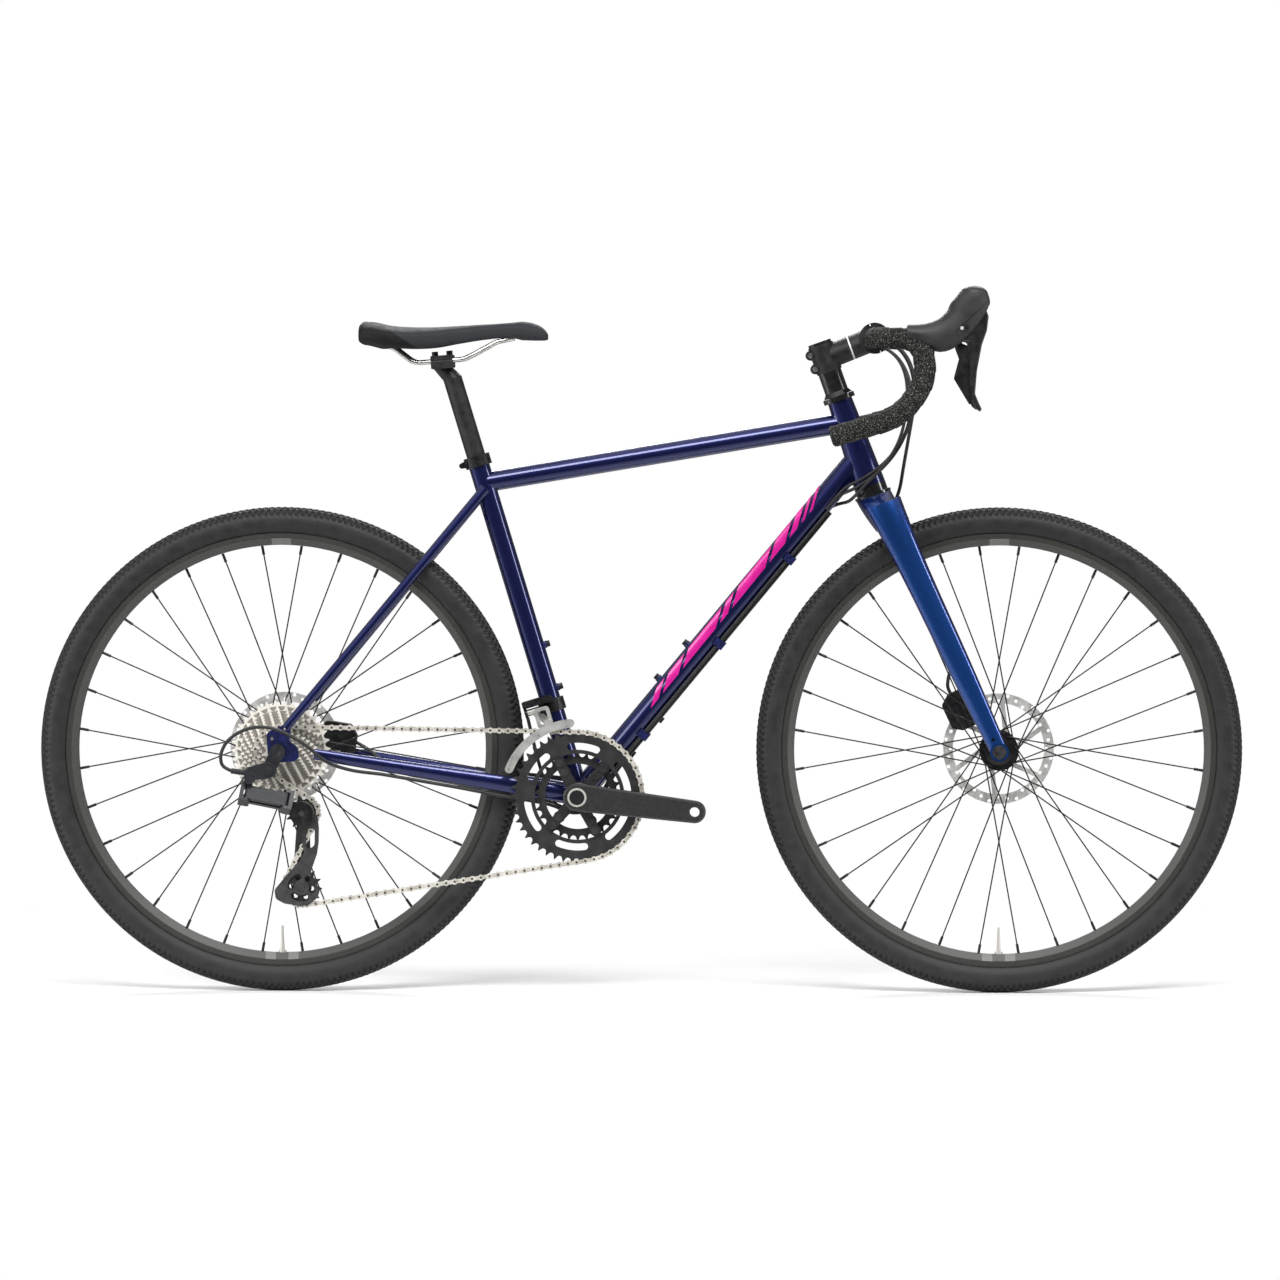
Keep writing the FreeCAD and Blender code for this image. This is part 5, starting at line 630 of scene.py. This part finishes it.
cage_pale = finish("cage_plated", plated_dark, plated_light, rough=(0.26, 0.36), metallic=0.5, mottle=90.0)
wear(cage_pale, "fd_cage")
pulley_resin = finish("pulley_resin", black_dark, black_light, rough=(0.45, 0.6), mottle=200.0, grain=1200.0,
                      bump=0.2)
wear(pulley_resin, "guide_pulley", "tension_pulley")
pad_compound = finish("pad_compound", pad_dark, pad_light, rough=(0.7, 0.9), metallic=0.2, mottle=600.0,
                      bump=0.5)
wear(pad_compound, "front_pad_inner", "front_pad_outer", "rear_pad_inner", "rear_pad_outer")


# The fork: a moulded carbon-and-alloy fork in blue lacquer, with a painted azure highlight on its flat
# sides, which turns to the frame's violet where the legs round over to the front and back.
fork_deep = (0.004, 0.005, 0.06)
fork_lit = (0.01, 0.018, 0.18)
fork_azure_highlight = (0.002, 0.058, 0.28)
fork_facing = (0.5, 0.95)

fork_paint = finish("fork_lacquer", fork_deep, fork_lit, rough=(0.26, 0.34), metallic=lacquer_metallic,
                    coat=lacquer_coat, mottle=flake_scale, grain=lacquer_grain, bump=lacquer_bump)
# Painted highlight in azure on the flat sides of the legs
paint_over(fork_paint, facing_side(fork_paint, *fork_facing), fork_azure_highlight)
wear(fork_paint, "fork")


# Stem and seatpost: forged and drawn alloy, bead blasted and anodised black. The stem carries one thin white
# band round its body, a masked line sprayed after anodising.
stem_way = np.array((0.9426, 0.0, 0.3338))
stem_band = 0.037
stem_band_half = 0.0011
bar_centre = np.array((0.33799, 0.0, 0.94289))
white_mark = (0.75, 0.75, 0.74)


def band_across(material, point, way, half):
    """Mask: 1 in a thin slice square to a direction, about a point."""
    tree = material.node_tree
    place = tree.nodes.new("ShaderNodeTexCoord")
    dot = tree.nodes.new("ShaderNodeVectorMath")
    dot.operation = "DOT_PRODUCT"
    dot.inputs[1].default_value = tuple(way)
    tree.links.new(place.outputs["Object"], dot.inputs[0])
    middle = float(np.dot(point, way))
    return within(material, dot.outputs["Value"], middle - half, middle + half)


def blasted_finish(name):
    """Matt black with the fine grain that bead blasting leaves."""
    return finish(name, black_dark, black_light, rough=(0.42, 0.54), metallic=0.3, mottle=80.0, grain=2600.0,
                  bump=0.18)


wear(blasted_finish("blasted_black"), "seatpost")
stem_black = blasted_finish("stem_black")
paint_over(stem_black, band_across(stem_black, bar_centre - stem_band * stem_way, stem_way, stem_band_half),
           white_mark)
wear(stem_black, "stem")


# Bar tape: a cushioned cork-like strip wound round the bar from the ends to the stem, half overlapping
# itself, with a plug in each end. A circle carried along the bar's line, its radius a sawtooth in the
# winding: R(s, a) = low + rise * frac(s / pitch + a / 2 pi).
bar_shares = ((0.0, 0.0, 0.0), (0.0, 0.9, 0.0), (0.88, 1.0, -0.012), (0.985, 1.02, -0.42), (0.5, 1.06, -0.8),
              (-0.8, 1.1, -1.0))
bar_spans = np.array((0.076, 0.215, 0.14))
bar_bend = 0.09
corner_share = 0.45
tape_start = 0.04
tape_low = 0.0143
tape_rise = 0.0011
tape_pitch = 0.021
tape_steps = 620
tape_sides = 32
tape_aside = np.array((0.0, 0.6, 0.8))
tape_first_share = 0.83
plug_shares = (0.96, 0.7, 0.04)
bend_steps = 24
tape_dark = (0.004, 0.004, 0.004)
tape_light = (0.014, 0.0135, 0.013)
tape_fleck = (0.17, 0.165, 0.15)
fleck_scale = 640.0
fleck_detail = 1.0
fleck_limits = (0.62, 2.0)


def rounded_line(points, bend, count):
    """Points at even spacing along straight runs joined by tangent arcs."""
    pieces = [points[:1]]
    for before, corner, after in zip(points[:-2], points[1:-1], points[2:]):
        back, on = before - corner, after - corner
        runs = np.linalg.norm(back), np.linalg.norm(on)
        back, on = back / runs[0], on / runs[1]
        half = math.acos(np.clip(np.dot(back, on), -1, 1)) / 2
        tangent = min(bend / math.tan(half), corner_share * min(runs))
        radius = tangent * math.tan(half)
        inward = (back + on) / np.linalg.norm(back + on)
        centre = corner + inward * radius / math.sin(half)
        across = (on - back) / np.linalg.norm(on - back)
        sweep = np.linspace(half - math.pi / 2, math.pi / 2 - half, bend_steps)[:, None]
        pieces.append(centre + radius * (np.sin(sweep) * across - np.cos(sweep) * inward))
    pieces.append(points[-1:])
    line = np.concatenate(pieces)
    length = np.concatenate(((0.0,), np.cumsum(np.linalg.norm(np.diff(line, axis=0), axis=1))))
    even = np.linspace(0, length[-1], count)
    return np.stack([np.interp(even, length, line[:, k]) for k in range(3)], axis=1), even


def carried(line, offset_a, offset_b, aside):
    """Rings of offsets about a line, turned with it; aside is never along the line."""
    way = np.gradient(line, axis=0)
    way /= np.linalg.norm(way, axis=1, keepdims=True)
    first = np.cross(way, aside)
    first /= np.linalg.norm(first, axis=1, keepdims=True)
    second = np.cross(way, first)
    return line[:, None] + offset_a[..., None] * first[:, None] + offset_b[..., None] * second[:, None]


def tape_points(side):
    """Wound tape of one side, from beside the stem to the plug, on the bar's rounded line."""
    points = bar_centre + np.array(bar_shares) * bar_spans * np.array((1, side, 1))
    points[0] = bar_centre + np.array((0, side * tape_start, 0))
    line, along = rounded_line(points, bar_bend, tape_steps)
    angle = np.linspace(0, 2 * np.pi, tape_sides + 1)[None, :-1]
    radius = tape_low + tape_rise * ((along[:, None] / tape_pitch + side * angle / (2 * np.pi)) % 1.0)
    ends = np.ones(tape_steps)
    ends[0] = tape_first_share
    ends[-len(plug_shares):] = plug_shares
    radius = radius * ends[:, None]
    return carried(line, radius * np.cos(angle), radius * np.sin(angle), tape_aside)


def flecks(material):
    """Mask of small scattered spots: 1 where a noise lies between two limits."""
    tree = material.node_tree
    place = tree.nodes.new("ShaderNodeTexCoord")
    cells = tree.nodes.new("ShaderNodeTexNoise")
    cells.inputs["Scale"].default_value = fleck_scale
    cells.inputs["Detail"].default_value = fleck_detail
    tree.links.new(place.outputs["Object"], cells.inputs["Vector"])
    return within(material, cells.outputs["Fac"], *fleck_limits)


cork = finish("tape_cork", tape_dark, tape_light, rough=(0.7, 0.9), mottle=260.0, grain=520.0, bump=0.6,
              sheen=0.2)
paint_over(cork, flecks(cork), tape_fleck)
tape = grid_object("bar_tape_wound", np.stack([tape_points(side) for side in (1, -1)]), "steering", cork,
                   (False, True), True)
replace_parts(tape, "bar_tape")


# Hoods, levers and paddles: rubber hoods pulled over moulded brake bodies, and forged blades with an
# upright shift paddle hung behind each, all satin black.
hood_dark = (0.014, 0.014, 0.015)
hood_light = (0.03, 0.03, 0.031)
crease_middle = np.array((0.477, 0.0, 0.9745))
crease_way = np.array((0.73, 0.0, 0.683))
crease_across = np.array((-0.683, 0.0, 0.73))
crease_long_half = 0.034
crease_half = 0.0007
# Painted shade along the crease in each hood
crease_shade = (0.003, 0.003, 0.003)
lever_dark = (0.012, 0.012, 0.013)
lever_light = (0.03, 0.03, 0.032)
lever_pin = np.array((0.4612, 0.0, 0.9563))
lever_pin_radius = 0.0026

hood_rubber = finish("hood_rubber", hood_dark, hood_light, rough=(0.46, 0.6), mottle=50.0, grain=1100.0,
                     bump=0.3, sheen=0.4)
# Painted shade: a thin dark line along the crease on each hood
crease = both(hood_rubber, band_across(hood_rubber, crease_middle, crease_across, crease_half),
              band_across(hood_rubber, crease_middle, crease_way, crease_long_half))
paint_over(hood_rubber, crease, crease_shade)
pin = within(hood_rubber, polar(hood_rubber, lever_pin).outputs["Radius"], 0.0, lever_pin_radius)
paint_over(hood_rubber, pin, valve_silver)
wear(hood_rubber, "brake_hoods")
lever_black = finish("lever_black", lever_dark, lever_light, rough=(0.28, 0.38), metallic=0.4, coat=0.3,
                     mottle=70.0)
wear(lever_black, "brake_lever_left", "brake_lever_right", "shift_paddle_left", "shift_paddle_right")


# The saddle: a foam pad on a nylon shell under a stitched cover, dark grey in front and black behind.
# Sections along the length, each a rounded shape y = w cos t |cos t|^(p-1), z between top, edge and foot,
# with a shallow channel down the middle and a hollow underside.
saddle_back = np.array((-0.4035, 0.0, 0.9674))
saddle_length = 0.271
saddle_half = 0.07
saddle_depth = 0.04
# Each row: along, half width, and drops of the top, the edge and the underside
saddle_shares = np.array((
    (0.0, 0.6, 0.14, 0.47, 0.76), (0.012, 0.72, 0.05, 0.43, 0.82), (0.05, 0.87, 0.02, 0.42, 0.88),
    (0.16, 0.98, 0.14, 0.52, 1.06), (0.3, 0.86, 0.2, 0.56, 1.12), (0.4, 0.7, 0.19, 0.52, 1.08),
    (0.52, 0.52, 0.14, 0.44, 0.92), (0.66, 0.38, 0.07, 0.34, 0.76), (0.8, 0.31, 0.015, 0.28, 0.68),
    (0.88, 0.29, 0.02, 0.3, 0.69), (0.93, 0.27, 0.09, 0.36, 0.7), (0.965, 0.23, 0.2, 0.42, 0.7),
    (0.988, 0.17, 0.34, 0.5, 0.69), (1.0, 0.1, 0.47, 0.56, 0.66)))
hollow_depth = 0.008
hollow_share = 0.8
panel_edge = np.array((-0.3452, 0.0, 0.9464))
panel_way = np.array((0.552, 0.0, 0.834))
panel_reach = 0.4
channel_depth = 0.0035
channel_half = 0.011
# Where the channel begins and ends, each with the length that it fades over, as shares of the saddle
channel_start_shares = (0.12, 0.1)
channel_end_shares = (0.86, 0.12)
side_power = 0.85
under_power = 0.55
saddle_rings = 90
saddle_sides = 72
tip_share = 0.02
cover_dark = (0.006, 0.006, 0.006)
cover_light = (0.011, 0.011, 0.011)
cover_front = (0.03, 0.033, 0.037)


def eased(rows, count):
    """Rows of numbers joined by a smooth curve, sampled at even steps of their first column."""
    at = rows[0, 0] + (rows[-1, 0] - rows[0, 0]) * np.linspace(0, 1, count)
    slope = np.gradient(rows, rows[:, 0], axis=0)
    k = np.clip(np.searchsorted(rows[:, 0], at, side="right") - 1, 0, len(rows) - 2)
    span = (rows[k + 1, 0] - rows[k, 0])[:, None]
    t = (at - rows[k, 0])[:, None] / span
    return ((2 * t ** 3 - 3 * t ** 2 + 1) * rows[k] + (t ** 3 - 2 * t ** 2 + t) * span * slope[k]
            + (3 * t ** 2 - 2 * t ** 3) * rows[k + 1] + (t ** 3 - t ** 2) * span * slope[k + 1])


def saddle_points():
    """Rings from the back to the nose: rounded sections with a channel above and a hollow below."""
    along, half, top, edge, foot = eased(saddle_shares, saddle_rings).T[..., None]
    angle = np.linspace(0, 2 * np.pi, saddle_sides + 1)[None, :-1]
    y = half * saddle_half * np.sign(np.cos(angle)) * np.abs(np.cos(angle)) ** side_power
    rise = np.where(np.sin(angle) > 0, edge - top, foot - edge)
    power = np.where(np.sin(angle) > 0, 1.0, under_power)
    z = -edge + rise * np.sign(np.sin(angle)) * np.abs(np.sin(angle)) ** power
    middle = np.exp(-(y / channel_half) ** 2) * (np.sin(angle) > 0)
    start, start_fade = channel_start_shares
    end, end_fade = channel_end_shares
    spread = np.clip((along - start) / start_fade, 0, 1) * np.clip((end - along) / end_fade, 0, 1)
    within_skirt = np.clip(1 - (y / (hollow_share * half * saddle_half)) ** 2, 0, 1) * (np.sin(angle) < 0)
    z = z * saddle_depth - channel_depth * middle * spread + hollow_depth * within_skirt * spread
    x = np.broadcast_to(along * saddle_length, y.shape)
    rings = saddle_back + np.stack((x, y, z), axis=-1)
    tips = [ring.mean(axis=0) + tip_share * (ring - ring.mean(axis=0)) for ring in (rings[0], rings[-1])]
    return np.concatenate((tips[0][None], rings, tips[1][None]))[None]


def cover_finish():
    """Black cover with a grey panel over the front."""
    material = finish("saddle_cover", cover_dark, cover_light, rough=(0.6, 0.72), mottle=90.0, grain=1400.0,
                      bump=0.4, sheen=0.2)
    ahead = band_across(material, panel_edge + panel_reach * panel_way, panel_way, panel_reach)
    paint_over(material, ahead, cover_front)
    return material


saddle = grid_object("saddle_cushion", saddle_points(), "saddle", cover_finish(), (False, True), True)
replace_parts(saddle, "saddle")
wear(bright_steel, "saddle_rails")


# Hoses and cables: black nylon-covered housings. Three run free from the bar tape to the down tube's guides;
# the others are clipped to the frame or enter the fork.
cable_radius = 0.00245
cable_dark = (0.006, 0.006, 0.0065)
cable_light = (0.016, 0.016, 0.017)
# Points of each route in millimetres, from the bar tape to the down tube
cable_routes = (
    ((347, -37.2, 931.4), (361, -36, 925), (377, -38, 910), (386, -39, 877), (384, -39, 838), (376, -39, 798),
     (356, -40, 764), (330, -40, 738), (313, -34, 720), (304, -20, 710), (296, -4, 706), (286, 7, 705),
     (269.2, 9, 697.6)),
    ((352, -37.2, 939), (368, -36, 934), (386, -34, 915), (396, -33, 880), (393, -33, 842), (384, -33, 804),
     (362, -34, 768), (335, -34, 743), (310, -29, 727), (295, -18, 721), (284.3, -9, 716.3),
     (269.2, -9, 697.6)),
    ((347, 37.2, 931.4), (364, 34, 924), (381, 22, 905), (391, 6, 875), (391, -12, 840), (384, -24, 806),
     (364, -30, 775), (338, -32, 751), (312, -29, 736), (297, -23, 731), (284.3, -14.8, 716.3),
     (269.2, -14.8, 697.6)))
cable_facets = 3
cable_order = 4
cable_steps = 12
millimetre = 0.001

cable_cover = finish("cable_cover", cable_dark, cable_light, rough=(0.4, 0.54), mottle=120.0, grain=1500.0,
                     bump=0.15)
wear(cable_cover, "frame_cables", "front_brake_hose")


def cable_object(name, route):
    """Round cable on a smooth curve drawn by the route's points."""
    curve = bpy.data.curves.new(name, "CURVE")
    curve.dimensions = "3D"
    curve.bevel_depth = cable_radius
    curve.bevel_resolution = cable_facets
    curve.use_fill_caps = True
    spline = curve.splines.new("NURBS")
    points = np.column_stack((np.array(route) * millimetre, np.ones(len(route))))
    spline.points.add(len(points) - 1)
    spline.points.foreach_set("co", points.ravel())
    spline.order_u = cable_order
    spline.resolution_u = cable_steps
    spline.use_endpoint_u = True
    drawn = bpy.data.objects.new(name + "_line", curve)
    bpy.context.scene.collection.objects.link(drawn)
    seen = drawn.evaluated_get(bpy.context.evaluated_depsgraph_get())
    mesh = bpy.data.meshes.new_from_object(seen)
    bpy.data.objects.remove(drawn)
    mesh.name = name
    mesh.materials.clear()
    mesh.materials.append(cable_cover)
    piece = bpy.data.objects.new(name, mesh)
    bpy.context.scene.collection.objects.link(piece)
    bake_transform(piece)
    return piece


for name, route in zip(("rear_brake_hose", "rear_shift_cable", "front_shift_cable"), cable_routes):
    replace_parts(cable_object(name, route), "control_cables")


# The studio: a pale floor that fades into white, a broad soft key from the camera's side, a fill, a strip
# behind and an upright bank at each end, and a white surround.
floor_half = 4.0
floor_solid = 0.4
floor_gone = 1.7
floor_white = (0.95, 0.95, 0.95)
floor_shape = (0.35, 1.0, 0.0)
surround = 0.12
overhead = (0.35, 0.8)
camera_place = np.array((0.36, -10.4, 0.9))
camera_aim = np.array((0.0, 0.0, 0.508))
camera_lens = 203.0
lamp_aim = (0.0, 0.0, 0.5)
# Each row: name, place, width and height, power
lamps = (
    ("key", (0.6, -3.0, 3.6), (3.4, 1.4), 190.0),
    ("fill", (-2.8, -2.6, 1.6), (1.4, 2.0), 45.0),
    ("strip", (0.0, 2.6, 2.6), (3.0, 0.5), 70.0),
    ("left_bank", (-3.2, -0.7, 0.95), (0.5, 1.9), 34.0),
    ("right_bank", (3.2, -0.7, 0.95), (0.5, 1.9), 34.0))


def aim(thing, place, target):
    """Puts a camera or light in place, looking at a target."""
    thing.location = place
    back = np.array(place) - np.array(target)
    back = back / np.linalg.norm(back)
    thing.rotation_euler = (math.acos(back[2]), 0.0, math.atan2(back[0], -back[1]))


def floor_finish():
    """Pale floor that grows clear with the distance from its middle, within an oval."""
    material = finish("floor_paint", floor_white, floor_white, rough=(0.85, 0.95), mottle=3.0, grain=60.0,
                      bump=0.02)
    tree = material.node_tree
    place = tree.nodes.new("ShaderNodeTexCoord")
    flat = tree.nodes.new("ShaderNodeVectorMath")
    flat.operation = "MULTIPLY"
    flat.inputs[1].default_value = floor_shape
    length = tree.nodes.new("ShaderNodeVectorMath")
    length.operation = "LENGTH"
    tree.links.new(place.outputs["Object"], flat.inputs[0])
    tree.links.new(flat.outputs["Vector"], length.inputs[0])
    fade = tree.nodes.new("ShaderNodeMapRange")
    ends = (floor_solid, floor_gone, 1.0, 0.0)
    for socket, value in zip(("From Min", "From Max", "To Min", "To Max"), ends):
        fade.inputs[socket].default_value = value
    tree.links.new(length.outputs["Value"], fade.inputs["Value"])
    tree.links.new(fade.outputs["Result"], tree.nodes["Principled BSDF"].inputs["Alpha"])
    return material


corner = np.array(((-1, -1, 0), (1, -1, 0), (1, 1, 0), (-1, 1, 0))) * floor_half
floor_mesh = bpy.data.meshes.new("floor")
floor_mesh.from_pydata(corner.tolist(), [], [(0, 1, 2, 3)])
floor_mesh.materials.append(floor_finish())
floor = bpy.data.objects.new("floor", floor_mesh)
bpy.context.scene.collection.objects.link(floor)

for name, place, size, power in lamps:
    light = bpy.data.lights.new(name, "AREA")
    light.shape = "RECTANGLE"
    light.size, light.size_y = size
    light.energy = power
    lamp = bpy.data.objects.new(name, light)
    bpy.context.scene.collection.objects.link(lamp)
    lamp.visible_camera = False
    aim(lamp, place, lamp_aim)

world = bpy.data.worlds.new("surround")
world.use_nodes = True
bpy.context.scene.world = world
sky = world.node_tree.nodes["Background"]
sky.inputs["Color"].default_value = (1.0, 1.0, 1.0, 1.0)
seen_by = world.node_tree.nodes.new("ShaderNodeLightPath")
direction = world.node_tree.nodes.new("ShaderNodeTexCoord")
height = world.node_tree.nodes.new("ShaderNodeSeparateXYZ")
above = world.node_tree.nodes.new("ShaderNodeMapRange")
above.inputs["From Min"].default_value, above.inputs["From Max"].default_value = overhead
mirrored = world.node_tree.nodes.new("ShaderNodeMath")
mirrored.operation = "MAXIMUM"
ceiling = world.node_tree.nodes.new("ShaderNodeMath")
ceiling.operation = "MULTIPLY"
backdrop = world.node_tree.nodes.new("ShaderNodeMath")
backdrop.operation = "MAXIMUM"
level = world.node_tree.nodes.new("ShaderNodeMapRange")
level.inputs["To Min"].default_value = surround
level.inputs["To Max"].default_value = 1.0
for source, target in (
        (direction.outputs["Object"], height.inputs["Vector"]), (height.outputs["Z"], above.inputs["Value"]),
        (seen_by.outputs["Is Glossy Ray"], mirrored.inputs[0]),
        (seen_by.outputs["Is Transmission Ray"], mirrored.inputs[1]),
        (mirrored.outputs["Value"], ceiling.inputs[0]), (above.outputs["Result"], ceiling.inputs[1]),
        (seen_by.outputs["Is Camera Ray"], backdrop.inputs[0]),
        (ceiling.outputs["Value"], backdrop.inputs[1]), (backdrop.outputs["Value"], level.inputs["Value"]),
        (level.outputs["Result"], sky.inputs["Strength"])):
    world.node_tree.links.new(source, target)

camera = bpy.data.objects.new("camera", bpy.data.cameras.new("camera"))
camera.data.lens = camera_lens
bpy.context.scene.collection.objects.link(camera)
aim(camera, camera_place, camera_aim)
bpy.context.scene.camera = camera
bpy.context.scene.view_settings.view_transform = "Standard"
